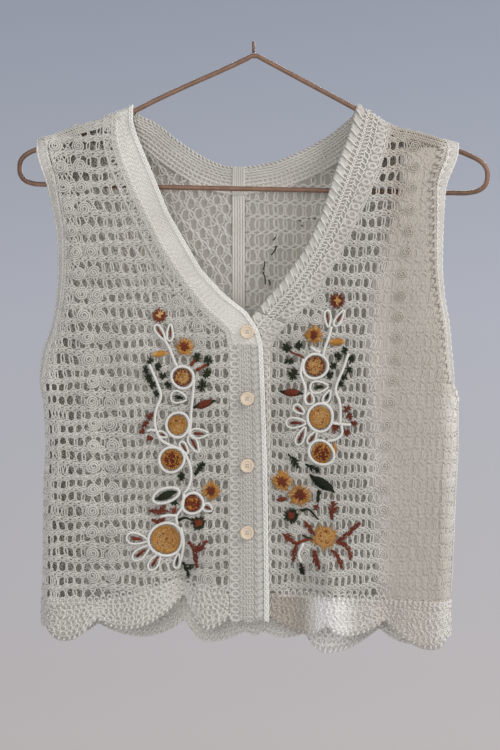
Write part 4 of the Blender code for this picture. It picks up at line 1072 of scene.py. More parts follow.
def ropedColumns(strip):  # rope, zigzag, mesh and coin columns, from the free edge to the seam
    long = strip["at"][-1]
    made = rungs(strip, **roped["inner"]) + twined(0, long, **roped["zigzag"])
    for bars in roped["mesh"]:
        made += rungs(strip, **bars)
    made += [wavy(0, long, **rib) for rib in roped["ribs"]]
    rings = coins(strip, **roped["coins"])
    made += [(points + [roped["ropeShift"], 0, 0], closed, shares)
             for points, closed, shares in slants(strip, **roped["rope"])]
    return made, rings, lobeRow(strip, **roped["lobes"])


def ropedLeft():
    strip = bandStrip(bands["neckLeft"], front, left, across=8)
    made, rings, lobes = ropedColumns(strip)
    bandPiece("neckbandLeft", strip, made, "neckband_left",
              ground="hemGround", lift=roped["groundLift"], rings=rings, lobes=lobes)


ribbed = {  # the inside shows through the neck, so it has more strands
    "width": 0.027, "lifts": (0.8, -0.8),
    "edge": {"share": 0.05, "spread": 0.04, "pitch": 4.6, "lean": 2.3, "thick": 1.4},
    "upper": {"inside": (0.13, 0.22, 0.31, 0.40), "outside": (0.16, 0.34)},
    "upperStrand": {"sway": 0.016, "steps": 3, "thick": 1.8}, "upperPitch": (4.6, 5.6),
    "lower": {"inside": (0.52, 0.66, 0.80, 0.94), "outside": (0.58, 0.86)},
    "lowerStrand": {"sway": 0.014, "pitch": 5.0, "steps": 3, "thick": 1.55},
    "bars": {"pitch": 4.4, "thick": 1.25}, "barLean": 1.2, "turn": 1.7,
    # the centre band's strands run on over the inside: first and last reach, count, lift, end lift
    "centre": (-9.3, -19.1, 6), "centreLift": (-1.7, -0.7), "centreThick": 1.8, "centrePoints": 9,
}


def ribbedBack():
    strip = bandStrip(bands["neckBack"], back, None, across=6)
    long = strip["at"][-1]
    made = []
    for out in ribbed["lifts"]:
        face = "inside" if out < 0 else "outside"
        made += slants(strip, lift=out * 0.8, rise=0.3 * out, **ribbed["edge"])
        for k, share in enumerate(ribbed["upper"][face]):
            made.append(wavy(0, long, share, pitch=dice.uniform(*ribbed["upperPitch"]), lift=0.7 * out,
                             phase=k * ribbed["turn"], **ribbed["upperStrand"]))
        for k, share in enumerate(ribbed["lower"][face]):
            made.append(wavy(0, long, share, lift=out * 0.8, phase=k * ribbed["turn"],
                             **ribbed["lowerStrand"]))
            made += rungs(strip, share - 0.12, share - 0.01, lift=out * 0.5, rise=0.2 * out,
                          lean=ribbed["barLean"] * (-1) ** k, **ribbed["bars"])
    inside = strip["base"][:, 3, 0]
    shares = np.linspace(0.02, 1, ribbed["centrePoints"])
    lifts = np.interp(shares, [0.8, 1], ribbed["centreLift"])
    for reach in np.linspace(*ribbed["centre"]):
        at = float(np.interp(reach * mm, inside, strip["at"]))
        made.append((np.column_stack([np.full(len(shares), at), shares, lifts]), False,
                     np.full(len(shares), ribbed["centreThick"])))
    bandPiece("neckbandBack", strip, made, "neckband_back", ground="hemGround",
              yarn="shadedBand")


frontCord = {"thick": 1.9, "step": 1.7, "start": 0.6, "sway": 0.45, "lift": 1.0, "rise": 0.35, "turn": 1.5,
             "strands": [(0.0, 0.0), (1.5, math.pi), (3.0, 0.0)]}      # inset, phase


def frontEdge(opening):  # bright corded edge: down the neck's right side, then down the opening
    neck = bandStrip(bands["neckRight"], front, right)
    strands = []
    for inset, phase in frontCord["strands"]:
        places = []
        for strip in (neck, opening):
            at = np.arange(frontCord["start"], strip["at"][-1], frontCord["step"])
            width = np.interp(at, strip["at"], strip["width"])
            turn = at * frontCord["turn"] + phase
            places.append(onStrip(strip, np.column_stack([
                at, (inset + frontCord["sway"] * np.cos(turn)) / width,
                frontCord["lift"] + frontCord["rise"] * np.sin(turn)])))
        strands.append((np.concatenate(places), False, None))
    return yarnPiece("frontEdgeCord", strands, frontCord["thick"], "edge", replaced=["placket_top"])


buttoned = {
    "width": 0.0355, "from": 28.0,       # the smooth neckband covers the top
    "inner": {"share": 0.315, "spread": 0.03, "pitch": 6.6, "lift": 0.5, "lean": -2.0, "rise": 0.5,
              "thick": 1.2},
    "edgeLobes": {"share": 0.06, "pitch": 5.8, "along": 2.7, "across": 1.7, "height": 1.2, "lift": 0.2,
                  "lean": 0.8},
    "lobes": {"share": 0.20, "pitch": 6.4, "along": 3.1, "across": 3.3, "height": 1.0, "lift": 0.0,
              "lean": 1.5},
    "middle": {"share": 0.51, "spread": 0.12, "pitch": 4.1, "lift": 0.1, "lean": 0.8, "rise": 0.5,
               "wild": 0.6, "thick": 1.1},
    "field": {"shares": (0.40, 0.62, 4), "sway": 0.02, "pitches": (4.2, 5.4), "lift": 0.2},
    "zigzag": {"share": 0.71, "sway": 0.035, "pitch": 5.0, "lifts": (1.2, 0.7), "thick": 1.05},
    "coins": {"share": 0.86, "pitch": 7.6, "radius": 2.9, "lift": 0.2, "wide": 1.3, "thick": 1.8},
    "seam": {"share": 0.985, "sway": 0.01, "pitch": 7.6, "lift": 0.7},
}


def buttonBand():
    strip = bandStrip(bands["placketTop"], front, right, across=8)
    long, first = strip["at"][-1], buttoned["from"]
    made = slants(strip, **buttoned["inner"])
    lobes = lobeRow(strip, **buttoned["edgeLobes"]) + lobeRow(strip, **buttoned["lobes"])
    made += slants(strip, **buttoned["middle"])
    made = [strand for strand in made if strand[0][:, 0].mean() > first]
    made += loose(first, long, **buttoned["field"]) + twined(first, long, **buttoned["zigzag"])
    rings = coins(strip, start=first, **buttoned["coins"])
    made.append(wavy(first, long, **buttoned["seam"]))
    bandPiece("placketTop", strip, made, "placket_top", ground="shadedBandGround",
              lift=-0.3, yarn="shadedBand", rings=rings, lobes=[lobe for lobe in lobes if lobe[0] > first],
              roped="shadedBand", edging=[frontEdge(strip)])


def underBand():
    strip = bandStrip(bands["placketUnder"], front, left, across=6)
    made, rings, lobes = ropedColumns(strip)
    bandPiece("placketUnder", strip, made, "placket_under",
              ground="ground", lift=roped["groundLift"], rings=rings, lobes=lobes)


centred = {"width": 0.0105, "shares": (0.09, 0.91), "sway": 0.012, "pitch": 7, "turn": 9,
           # lift, strands and their thickness share; the inside shows through the neck
           "sides": ((0.6, 3, 2.2), (-0.6, 5, 1.75))}


def centreBack():
    strip = bandStrip(bands["centre"], back, None, across=4)
    long = strip["at"][-1]
    made = []
    for lift, count, thick in centred["sides"]:
        for share in np.linspace(*centred["shares"], count):
            made.append(wavy(0, long, share, centred["sway"], centred["pitch"], lift, share * centred["turn"],
                             steps=2, thick=thick))
    bandPiece("centreBack", strip, made, "back_centre_band",
              ground="shadedBandGround", yarn="rope")


def armholeStrip(side):  # a ring: down the front, round the underarm and up the back
    start, curve = form["underarm"] - form["armCurve"], form["armCurve"]
    top = float(ridgeDrop(side * (halfWidth(side, 95.0) - 4)))
    shares = np.linspace(0, 1, 5)
    rows = []
    for drop in np.arange(start, top - 8, -5.0):
        rows.append([(float(edgeReach(side, front, drop)) - form["armBand"] * s, drop) for s in shares])
    rows.reverse()
    for turn in np.radians(np.linspace(0, 90, 8))[1:]:
        row = []
        for s in shares:
            grow = form["armBand"] * s
            drop = start + (curve + grow) * math.sin(turn)
            row.append((float(edgeReach(side, front, drop)) - max(grow * math.cos(turn), 0.15), drop))
        rows.append(row)
    halves = []
    for face, ordered in ((front, rows), (back, rows[::-1][1:])):
        reach, drop = np.moveaxis(np.array(ordered, float), -1, 0)
        if face == back:       # the back's own edge
            reach = reach + (edgeReach(side, back, drop) - edgeReach(side, front, drop))
        halves.append(clothStrip(face, side * reach, drop, side))
    return makeStrip(*(np.concatenate([half[grid] for half in halves]) for grid in ("base", "out")))


armhole = {
    "width": 0.01, "wall": 1.0,
    right: {"share": 0.40, "pitch": 6.4, "along": 3.2, "across": 3.6, "height": 1.2, "lift": 0.1,
            "lean": 0.6},
    left: {"share": 0.42, "pitch": 8.0, "along": 4.0, "across": 3.9, "height": 1.5, "lift": 0.1,
           "lean": 3.0},
    "zigzag": {"share": 0.9, "sway": 0.07, "pitch": 6.4, "lifts": (0.8, 0.4), "thick": 1.1},
    "edge": {"share": 0.02, "sway": 0.0, "pitch": 6.4, "lift": 0.0, "thick": 1.6},
}


def armholeBand(side):
    strip = armholeStrip(side)
    long, name = strip["at"][-1], sideNames[side]
    lobes = lobeRow(strip, **armhole[side])
    made = twined(0, long, **armhole["zigzag"]) + [wavy(0, long, **armhole["edge"])]
    bandPiece("armhole" + name, strip, made, "armhole_band_" + name.lower(),
              armhole["wall"], lift=-0.4, lobes=lobes)


stage("bands")
for makeBand in (plainRight, ropedLeft, ribbedBack, buttonBand, underBand, centreBack):
    makeBand()
for side in (right, left):
    armholeBand(side)


# scalloped hems
hems = {
    # notch x, notch drop, low x, low drop
    "right": [(-196.5, 545, -175, 558), (-146, 537, -118, 547), (-64, 514, -43.5, 548), (-21, 533)],
    "left": [(15.5, 537, 50, 552.5), (67, 543, 86, 553.5), (122.5, 539, 166, 566.5), (185, 556)],
    "back": [(-197.5, 548, -176, 560), (-148, 548, -106, 561), (-65, 545, -44.5, 566),
             (-8, 556, 1.8, 559.5), (10, 555.5, 31, 562), (48.5, 557.5, 68.6, 577), (119.5, 552, 151, 568),
             (185, 555)],
    "wall": 1.0, "lift": 0.3, "gap": 0.3,
    "edge": {"share": 0.05, "spread": 0.045, "pitch": 5.0, "lean": 1.6, "wild": 0.5, "thick": 1.8},
    "edgeRise": 0.4,
    "rows": (0.19, 0.44, 0.56, 0.84, 0.94), "rowPitch": (4.6, 5.4), "rowLean": 1.9, "rowRise": 0.9,
    "row": {"spread": 0.06, "wild": 0.8, "thick": 1.9},
    "holeRows": (0.31, 0.70), "holes": {"pitch": 6.6, "radius": 2.6, "lift": 0.5, "thick": 1.35},
    "strand": {"sway": 0.025, "steps": 3, "thick": 1.35}, "strandPitch": (4.6, 5.6), "turn": 1.6,
    # shares of the strands on a hem worked on one side, and on both
    "strands": {1: (0.13, 0.24, 0.38, 0.50, 0.63, 0.77, 0.90), 2: (0.13, 0.24, 0.50, 0.77)},
}


def scallopDrop(rows, x):
    notches = np.array([row[:2] for row in rows])
    lows = np.array([row[2:] for row in rows[:-1]])
    i = np.clip(np.searchsorted(notches[:, 0], x, side="right") - 1, 0, len(lows) - 1)
    before = x < lows[i, 0]
    notchX = np.where(before, notches[i, 0], notches[i + 1, 0])
    notchDrop = np.where(before, notches[i, 1], notches[i + 1, 1])
    t = np.minimum((x - lows[i, 0]) / (notchX - lows[i, 0]), 1)
    return lows[i, 1] - (lows[i, 1] - notchDrop) * t * t


def hemStrip(face, side, rows, low, high):
    across = np.linspace(0, 1, 6)
    marks = np.append(np.arange(low, high, 2.5), high)
    bottom = scallopDrop(rows, marks)
    seam = table(lace["hemSeam"] if face == front else lace["backHemSeam"], marks) + hems["gap"]
    drop = bottom[:, None] + (seam - bottom)[:, None] * across
    reach = np.repeat(marks[:, None], len(across), axis=1)
    sides = side if side else np.where(reach < 0, right, left)
    return clothStrip(face, reach, drop, sides)


def hem(name, face, side, rows, low, high, node, away, ground="hemGround", yarn="band"):
    strip = hemStrip(face, side, rows, low, high)
    long = strip["at"][-1]
    made = []
    for out in away:       # 1 on the outside, -1 on the inside
        lift = hems["lift"] * out
        made += slants(strip, lift=lift, rise=hems["edgeRise"] * out, **hems["edge"])
        for k, share in enumerate(hems["rows"]):
            made += slants(strip, share, pitch=dice.uniform(*hems["rowPitch"]), lift=lift,
                           lean=hems["rowLean"] * (-1) ** k, rise=hems["rowRise"] * out, **hems["row"])
        for share in hems["holeRows"]:
            made += [(points * [1, 1, out], closed, shares)
                     for points, closed, shares in coins(strip, share, **hems["holes"])]
        for k, share in enumerate(hems["strands"][len(away)]):
            made.append(wavy(0, long, share, pitch=dice.uniform(*hems["strandPitch"]), lift=lift,
                             phase=k * hems["turn"], **hems["strand"]))
    bandPiece(name, strip, made, node, hems["wall"], ground=ground, yarn=yarn)


def sideSeam(side, face):
    return side * (float(edgeReach(side, face, 550.0)) - 0.2)


stage("hems")
hem("hemFrontRight", front, right, hems["right"], sideSeam(right, front), -22.3, "hem_front_right", [1],
    yarn="hemRight")
hem("hemFrontLeft", front, left, hems["left"], 15.6, sideSeam(left, front), "hem_front_left", [1],
    "hemLeftGround", "hemLeft")
hem("hemBack", back, None, hems["back"], sideSeam(right, back), sideSeam(left, back), "hem_back", [1, -1],
    "ground", "hemBack")


# embroidery: couched white cords and worked flowers, leaves and sprigs
embroidery = {
    "thread": 1.3, "cord": 2.8, "looseThread": 1.2, "lift": 2.2, "cordLift": 2.5,
    # x, drop of both ends
    "loose": [(21.1, 180.1, 18.3, 183.4), (21.9, 188.7, 16.9, 197.6), (10.5, 203.4, 9.0, 211.5),
              (9.0, 213.4, 11.2, 225.3), (14.1, 221.0, 15.6, 226.2), (43.0, 164.6, 44.4, 165.6),
              (51.4, 163.2, 53.0, 162.8), (57.0, 163.4, 58.6, 162.6), (44.8, 169.0, 46.0, 170.6)],
    # places are x and drop in millimetres; a tilt turns anticlockwise from level, in degrees
    right: [
        ("burst", -87.2, 256.4, 6.9, "rust", "ochre"),
        ("loop", -86.5, 272.4, 17, 5.6, -58, "rust"), ("loop", -77.4, 272.0, 16, 5.4, 88, "rust"),
        ("cord", [(-82.4, 279), (-77.4, 288), (-73.6, 298), (-71, 303.5)]),
        ("burst", -63.8, 285.6, 8.6, "mustard", "rust"),
        ("leaf", -86.8, 292.0, 15, 5.4, 3, "mustard", "ochre"),
        ("tufts", "green", [(-95.6, 298.2, 4.2), (-88.2, 303.6, 4.4), (-84.0, 312.0, 4.2),
                            (-79.4, 320.6, 4.0), (-99.6, 306.4, 4.4), (-97.2, 313.6, 4.6),
                            (-93.8, 320.2, 4.6), (-90.0, 328.6, 3.6), (-52.6, 295.0, 5.0),
                            (-42.0, 298.6, 5.4), (-43.2, 309.8, 5.2), (-48.6, 321.6, 6.4)]),
        ("twig", [(-58.5, 303), (-56, 300), (-54.4, 297.4)], "rust"),
        ("twig", [(-53.4, 307.4), (-48.6, 305), (-43.8, 301.6)], "rust"),
        ("pad", -65.8, 313.6, 8.2, 8.0, "rust", "ochre"), ("ring", -65.8, 313.6, 10.4, 10.2),
        ("cord", [(-96.7, 301.6), (-92.4, 311), (-88.6, 320.6), (-85.8, 331), (-89.6, 341.6), (-91.4, 350),
                  (-91, 359), (-86.6, 370.6), (-77, 376.6), (-66.4, 380.6)]),
        ("cord", [(-99, 363.6), (-95, 362.2), (-90.8, 363)]),
        ("cord", [(-55.2, 316), (-56, 329), (-57.6, 342.6), (-58.4, 357.6), (-60, 367)]),
        ("loop", -69.2, 332.2, 15, 10.5, -12, "green"),
        ("leaf", -45.6, 338.4, 20, 6.6, 14, "rust", "green"),
        ("pad", -70.2, 357.6, 8.6, 9.0, "mustard", "ochre"), ("ring", -70.2, 357.6, 10.9, 11.3),
        ("tufts", "rust", [(-95.8, 349.6, 4.4), (-100.2, 357.0, 4.0), (-103.0, 363.4, 3.6),
                           (-96.4, 370.2, 3.6)]),
        ("loop", -84.2, 366.8, 10, 5.2, -20, "rust"), ("loop", -50.2, 365.8, 17, 8.6, 0, "rust"),
        ("loop", -55.2, 375.6, 18, 7.2, -62, "rust"), ("loop", -64.2, 379.0, 13, 5.4, -60, "rust"),
        ("pad", -75.8, 389.8, 9.6, 9.4, "mustard", "rust"), ("ring", -75.8, 389.8, 11.9, 11.6),
        ("cord", [(-63.4, 384), (-58.6, 395.6), (-57.8, 406.4), (-60.6, 416), (-65, 421.4)]),
        ("fern", -50.4, 398.4, 14, 55, "green"), ("tufts", "green", [(-66.4, 405.0, 4.8)]),
        ("burst", -39.4, 419.0, 9.0, "mustard", "rust"),
        ("leaf", -81.2, 423.0, 19, 7.2, 17, "green", "green"), ("ring", -81.2, 423.0, 12.6, 6.6, 17),
        ("pad", -56.4, 430.4, 7.6, 7.6, "rust", "rust"), ("ring", -56.4, 430.4, 9.8, 9.7),
        ("loop", -42.2, 434.6, 9, 7, -30, "rust"),
        ("tufts", "green", [(-73.4, 429.4, 4.8)]), ("tufts", "rust", [(-73.2, 436.8, 3.6)]),
        ("sprig", [(-96.4, 437), (-88, 438.6), (-79.6, 437.4)], "rust"),
        ("sprig", [(-86.4, 438.4), (-84.4, 434.4), (-83.6, 430.4)], "rust"),
        ("sprig", [(-93.6, 445.6), (-88, 447.4), (-82.6, 445.4)], "rust"),
        ("cord", [(-87, 442.8), (-79, 441.4), (-71.4, 441.8)]),
        ("cord", [(-64.6, 421.6), (-65.8, 433), (-71.4, 442.6), (-70.4, 450.4)]),
        ("burst", -50.8, 449.0, 7.2, "green", "rust"),
        ("twig", [(-70, 446.4), (-63.4, 443.6), (-55.8, 446.8)], "green"),
        ("pad", -81.6, 463.6, 13.2, 13.0, "mustard", "ochre"), ("ring", -81.6, 463.6, 15.6, 15.3),
        ("loop", -107.8, 463.2, 20, 9.6, -8, "rust"), ("loop", -103.8, 476.0, 20, 8.4, 40, "rust"),
        ("loop", -91.6, 484.2, 18, 7.6, 58, "rust"), ("loop", -71.6, 483.6, 15, 5.6, 76, "green"),
        ("cord", [(-67.2, 452.6), (-64.8, 466), (-66.6, 479.6), (-70.8, 491.4)]),
        ("sprig", [(-51.6, 489.4), (-53.0, 480), (-54, 472.4), (-59.6, 466.4)], "rust"),
        ("sprig", [(-54, 473.6), (-49, 470), (-43.6, 465.4)], "rust"),
        ("sprig", [(-50, 474), (-46, 471.6)], "rust"),
        ("sprig", [(-65.4, 485.6), (-61.6, 491), (-59.4, 498)], "green"),
        ("sprig", [(-54.6, 487.6), (-60.4, 491.6)], "green"),
    ],
    left: [
        ("burst", 77.4, 243.0, 7.4, "rust", "ochre"),
        ("loop", 68.8, 259.6, 16, 5.4, -86, "rust"), ("loop", 79.4, 259.0, 17, 5.4, 60, "rust"),
        ("cord", [(72.2, 266.6), (69.4, 277), (65.6, 288), (64.2, 295.4)]),
        ("burst", 55.6, 274.8, 8.6, "mustard", "rust"),
        ("leaf", 76.8, 280.8, 15, 6.6, -4, "mustard", "ochre"),
        ("cord", [(52.6, 285.2), (57, 288.6), (62, 290.4)]),
        ("tufts", "green", [(31.2, 286.6, 5.4), (42.2, 284.2, 4.8), (33.2, 298.8, 4.8),
                            (37.4, 310.4, 6.6)]),
        ("twig", [(34.4, 289.8), (40, 292.4), (46, 295)], "rust"),
        ("pad", 57.2, 303.4, 9.0, 9.2, "rust", "ochre"), ("ring", 57.2, 303.4, 11.4, 11.6),
        ("cord", [(46.2, 296.6), (43.6, 309.4), (46.4, 318.4), (48, 324), (47.2, 334), (50, 339)]),
        ("tufts", "green", [(84.2, 288.4, 4.4), (78.4, 294.2, 4.6), (74.2, 303.0, 4.4),
                            (70.6, 311.6, 4.4), (90.0, 296.4, 4.4), (87.6, 305.6, 4.6),
                            (84.0, 313.0, 4.2), (80.8, 319.8, 3.6)]),
        ("cord", [(87.6, 292), (83, 305.6), (77.4, 318.6), (76, 326.6), (79.8, 337.2),
                  (80.4, 348), (80.2, 357)]),
        ("cord", [(72.2, 355.8), (81, 357), (90.2, 357.6)]),
        ("cord", [(81.2, 358.4), (81.8, 366), (76, 371.2), (68, 372.6)]),
        ("loop", 60.8, 322.6, 17, 10.4, 6, "green"), ("leaf", 35.4, 327.8, 19, 6.8, -8, "rust", "green"),
        ("loop", 51.8, 333.2, 11, 8, 86, "rust"), ("loop", 68.2, 331.4, 13, 5.6, 64, "green"),
        ("pad", 61.6, 350.8, 9.6, 10.4, "mustard", "ochre"), ("ring", 61.6, 350.8, 12.0, 12.8),
        ("loop", 42.4, 343.6, 12, 6.4, -38, "rust"), ("loop", 39.6, 355.8, 18, 8.8, 0, "rust"),
        ("loop", 44.2, 367.8, 18, 6.6, 66, "rust"), ("loop", 54.6, 369.4, 14, 6.2, 58, "rust"),
        ("tufts", "rust", [(86.4, 342.8, 4.4), (89.0, 349.6, 4.0), (93.0, 356.0, 3.6),
                           (86.2, 364.6, 4.2), (75.0, 360.8, 4.8)]),
        ("pad", 62.6, 383.8, 8.8, 9.8, "mustard", "rust"), ("ring", 62.8, 383.4, 10.6, 12.4, 62),
        ("leaf", 75.0, 381.0, 13, 3.8, 84, "mustard", "ochre"),
        ("fern", 37.4, 391.0, 15, -52, "green"), ("fern", 54.6, 397.8, 14, -28, "green"),
        ("burst", 26.6, 410.0, 9.8, "mustard", "rust"), ("burst", 42.8, 423.2, 10.4, "mustard", "rust"),
        ("leaf", 26.4, 426.8, 9, 3.8, 4, "rust", "rust"),
        ("leaf", 63.4, 412.0, 25, 9.6, -38, "green", "green"),
        ("fern", 60.2, 424.0, 11, 80, "green"), ("burst", 35.4, 442.0, 7.4, "green", "rust"),
        ("tufts", "rust", [(57.8, 434.0, 3.6)]), ("fern", 73.4, 437.0, 17, 84, "rust"),
        ("twig", [(44, 437.4), (51, 436), (59.6, 445)], "green"),
        ("burst", 65.8, 461.6, 11.8, "mustard", "ochre"), ("pad", 65.8, 461.6, 8.6, 8.6, "ochre", "mustard"),
        ("sprig", [(47.2, 447), (51, 452.4), (55.8, 459)], "rust"),
        ("twig", [(40, 467.6), (47, 464.4), (54.4, 463)], "rust"),
        ("twig", [(45.4, 460), (50, 462), (54.4, 463.4)], "green"),
        ("sprig", [(77.4, 466), (84, 461.4), (91, 455.6), (98, 449)], "rust"),
        ("sprig", [(77.4, 466.6), (85.6, 469.6), (89, 475.4), (90, 481.4)], "rust"),
        ("sprig", [(72.6, 474.4), (77.4, 480.4), (80, 485), (80.6, 490)], "rust"),
        ("sprig", [(56, 474.4), (58, 480.4), (61.8, 490.4)], "rust"),
        ("sprig", [(58, 475), (57.4, 483), (58.6, 487)], "rust"),
        ("sprig", [(27.6, 458.8), (34, 464.4), (40, 468)], "rust"),
        ("sprig", [(40, 468), (38.4, 475.4), (36.6, 483.4)], "rust"),
        ("sprig", [(32, 458.6), (35, 464)], "rust"),
        ("cord", [(46.2, 467), (42.2, 477.2), (45, 485)]), ("fern", 45.2, 490.8, 12, -74, "green"),
    ],
}


def smoothLine(points, step=2.2):  # evenly stepped points of a smooth line through a few
    points = np.array(points, float)
    before = np.vstack([2 * points[0] - points[1], points, 2 * points[-1] - points[-2]])
    fine = []
    for i in range(len(points) - 1):
        a, b, c, d = before[i:i + 4]
        count = max(2, round(np.linalg.norm(c - b) / step))
        t = np.arange(count)[:, None] / count
        fine.append(0.5 * (2 * b + (c - a) * t + (2 * a - 5 * b + 4 * c - d) * t ** 2
                           + (3 * b - a - 3 * c + d) * t ** 3))
    return np.vstack([*fine, points[-1:]])


def turned(x, drop, tilt, flat):  # local right and up, in millimetres, to x and drop
    angle = math.radians(tilt)
    flat = np.asarray(flat, float)
    return np.column_stack([x + flat[:, 0] * math.cos(angle) - flat[:, 1] * math.sin(angle),
                            drop - flat[:, 0] * math.sin(angle) - flat[:, 1] * math.cos(angle)])


taper = np.array([0.45, 1.0, 0.45])


def stitch(kept, colour, start, stop, lift, rise=0.35):
    start, stop = np.array(start, float), np.array(stop, float)
    points = np.array([start, (start + stop) / 2, stop])
    kept[colour].append((np.column_stack([points, lift + rise * np.array([-0.6, 1.0, -0.6])]), False, taper))


def workBurst(kept, x, drop, radius, colour, heart):  # straight stitches out from a small heart
    lift = embroidery["lift"]
    disc(kept, x, drop, radius * 0.62, radius * 0.62, colour, lift - 0.5)
    count = int(radius * 5.2)
    for k in range(count):
        angle = 2 * math.pi * (k + dice.uniform(-0.35, 0.35)) / count
        low, high = radius * dice.uniform(0.12, 0.45), radius * dice.uniform(0.72, 1.18)
        thread = colour if dice.random() < 0.75 or colour in ("rust", "green") else "ochre"
        stitch(kept, thread, (x + low * math.cos(angle), drop + low * math.sin(angle)),
               (x + high * math.cos(angle), drop + high * math.sin(angle)), lift + dice.uniform(0, 0.4))
    for _ in range(int(radius * (3 if heart == "ochre" else 5))):
        angle = dice.uniform(0, 2 * math.pi)
        high = radius * dice.choice([0.3, 0.42, 0.5, 0.72]) * dice.uniform(0.85, 1.1)
        stitch(kept, heart, (x + 0.4 * math.cos(angle + 2), drop + 0.4 * math.sin(angle + 2)),
               (x + high * math.cos(angle), drop + high * math.sin(angle)), lift + 0.7)


def disc(kept, x, drop, wide, tall, colour, lift):  # a coil that closes the ground under the stitches
    turns = max(wide, tall) / 1.5
    turn = np.linspace(0.3, 2 * math.pi * turns, max(int(turns * 9), 6))
    share = turn / turn[-1]
    kept[colour].append((np.column_stack([x + wide * share * np.cos(turn), drop + tall * share * np.sin(turn),
                                          np.full(len(turn), lift)]), False, np.full(len(turn), 1.75)))


def workPad(kept, x, drop, wide, tall, rim, fill):  # a filled round inside its ring of cord
    lift = embroidery["lift"]
    disc(kept, x, drop, wide * 0.95, tall * 0.95, fill, lift - 0.5)
    other = "ochre" if fill == "mustard" else "mustard"
    for _ in range(int(wide * tall)):
        away, angle = math.sqrt(dice.random()) * 0.86, dice.uniform(0, 2 * math.pi)
        lean = angle + math.pi / 2 + dice.uniform(-0.9, 0.9)
        cx, cy = x + away * wide * math.cos(angle), drop + away * tall * math.sin(angle)
        long = dice.uniform(0.9, 1.9)
        colour = dice.choices([fill, other, rim, "rust"], [6, 3, 1.2, 1])[0]
        stitch(kept, colour, (cx - long * math.cos(lean), cy - long * math.sin(lean)),
               (cx + long * math.cos(lean), cy + long * math.sin(lean)), lift + dice.uniform(0.2, 0.75))
    count = int((wide + tall) * 2.1)
    for k in range(count):
        angle = 2 * math.pi * (k + dice.uniform(-0.3, 0.3)) / count
        low = dice.uniform(0.62, 0.78)
        stitch(kept, rim, (x + low * wide * math.cos(angle), drop + low * tall * math.sin(angle)),
               (x + 1.04 * wide * math.cos(angle), drop + 1.04 * tall * math.sin(angle)), lift + 0.7)


def workRing(kept, x, drop, wide, tall, tilt=0):
    turn = np.linspace(0, 2 * math.pi, 25)[:-1]
    out = 1 + 0.03 * np.sin(2 * turn + x) + 0.02 * np.sin(3 * turn + drop)
    flat = turned(x, drop, tilt, np.column_stack([wide * out * np.cos(turn), tall * out * np.sin(turn)]))
    kept["cord"].append((np.column_stack([flat, np.full(len(turn), embroidery["cordLift"])]), True, None))


def workLoop(kept, x, drop, long, wide, tilt, slit):  # a drop-shaped loop of cord round a few stitches
    turn = np.linspace(0.12, 2 * math.pi - 0.12, 17)
    flat = np.column_stack([long / 2 * np.cos(turn), wide / 2 * np.sin(turn) * (1 - 0.45 * np.cos(turn))])
    placed = turned(x, drop, tilt, flat)
    kept["cord"].append((np.column_stack([placed, np.full(len(turn), embroidery["cordLift"] - 0.2)]), False,
                         np.full(len(turn), 0.74)))
    inner = max(wide - 3.6, 1.2)
    for k in range(max(3, int(inner * 1.6))):
        side = (k % 3 - 1) * inner * 0.22
        low, high = -long * dice.uniform(0.22, 0.34), long * dice.uniform(0.16, 0.3)
        ends = turned(x, drop, tilt, [(low, side), (high, side * 0.4)])
        stitch(kept, slit, ends[0], ends[1], embroidery["lift"] - 0.2 + 0.2 * (k % 2))


def workTufts(kept, colour, tufts):  # tufts of short stitches: x, drop, size
    for x, drop, size in tufts:
        for _ in range(int(size * 5.6)):
            angle = dice.uniform(0, 2 * math.pi)
            low, high = size * dice.uniform(-0.3, 0.3), size * dice.uniform(0.6, 1.12)
            stitch(kept, colour, (x + low * math.cos(angle), drop + low * math.sin(angle)),
                   (x + high * math.cos(angle) * 0.9, drop + high * math.sin(angle)),
                   embroidery["lift"] - 0.2 + dice.uniform(0, 0.5))


def workFern(kept, x, drop, long, tilt, colour):
    spine = turned(x, drop, tilt, [(-long / 2, 0), (0, 0.4), (long / 2, 0)])
    workTwig(kept, spine, colour)
    for _ in range(int(long * 1.5)):
        at = dice.uniform(-0.46, 0.46) * long
        side = dice.choice([-1, 1])
        reach = long * 0.26 * (1.15 - abs(at) / long * 1.5) * dice.uniform(0.7, 1.1)
        ends = turned(x, drop, tilt, [(at, 0), (at + reach * 0.75, side * reach)])
        stitch(kept, colour, ends[0], ends[1], embroidery["lift"] + dice.uniform(-0.2, 0.3))


def workLeaf(kept, x, drop, long, wide, tilt, colour, tip):
    count = int(long * 2.6)
    for k in range(count):
        at = (k + dice.uniform(0, 1)) / count - 0.5
        half = wide / 2 * (1 - (2 * at) ** 2) + 0.35
        lean = long * 0.09
        ends = turned(x, drop, tilt, [(at * long - lean, -half * dice.uniform(0.8, 1.1)),
                                      (at * long + lean, half * dice.uniform(0.8, 1.1))])
        edge = abs(at) > 0.3
        stitch(kept, tip if edge else colour, ends[0], ends[1], embroidery["lift"] + dice.uniform(-0.3, 0.25))


def workTwig(kept, points, colour):
    line = smoothLine(points, 2.4)
    for away, share in ((-0.6, 0.9), (0.0, 1.35), (0.6, 0.9)):
        wave = away * (1 + 0.3 * np.sin(2.1 * np.arange(len(line))))[:, None]
        kept[colour].append((np.column_stack([line + wave, np.full(len(line), embroidery["lift"])]), False,
                             np.full(len(line), share)))


def workSprig(kept, points, colour):  # a thick line of slanted stitches
    line = smoothLine(points, 1.0)
    along = np.gradient(line, axis=0)
    along /= np.linalg.norm(along, axis=1)[:, None]
    for k in range(len(line)):
        end = min(k, len(line) - 1 - k) / len(line)
        for _ in range(3):
            out = dice.uniform(-1, 1) * (1.0 + 3.0 * min(end, 0.3))
            away = np.array([-along[k, 1], along[k, 0]])
            start = line[k] + away * out * 0.5 - along[k] * 0.9
            stitch(kept, colour, start, start + along[k] * dice.uniform(1.8, 2.6) + away * out * 1.1,
                   embroidery["lift"] + dice.uniform(-0.2, 0.4))


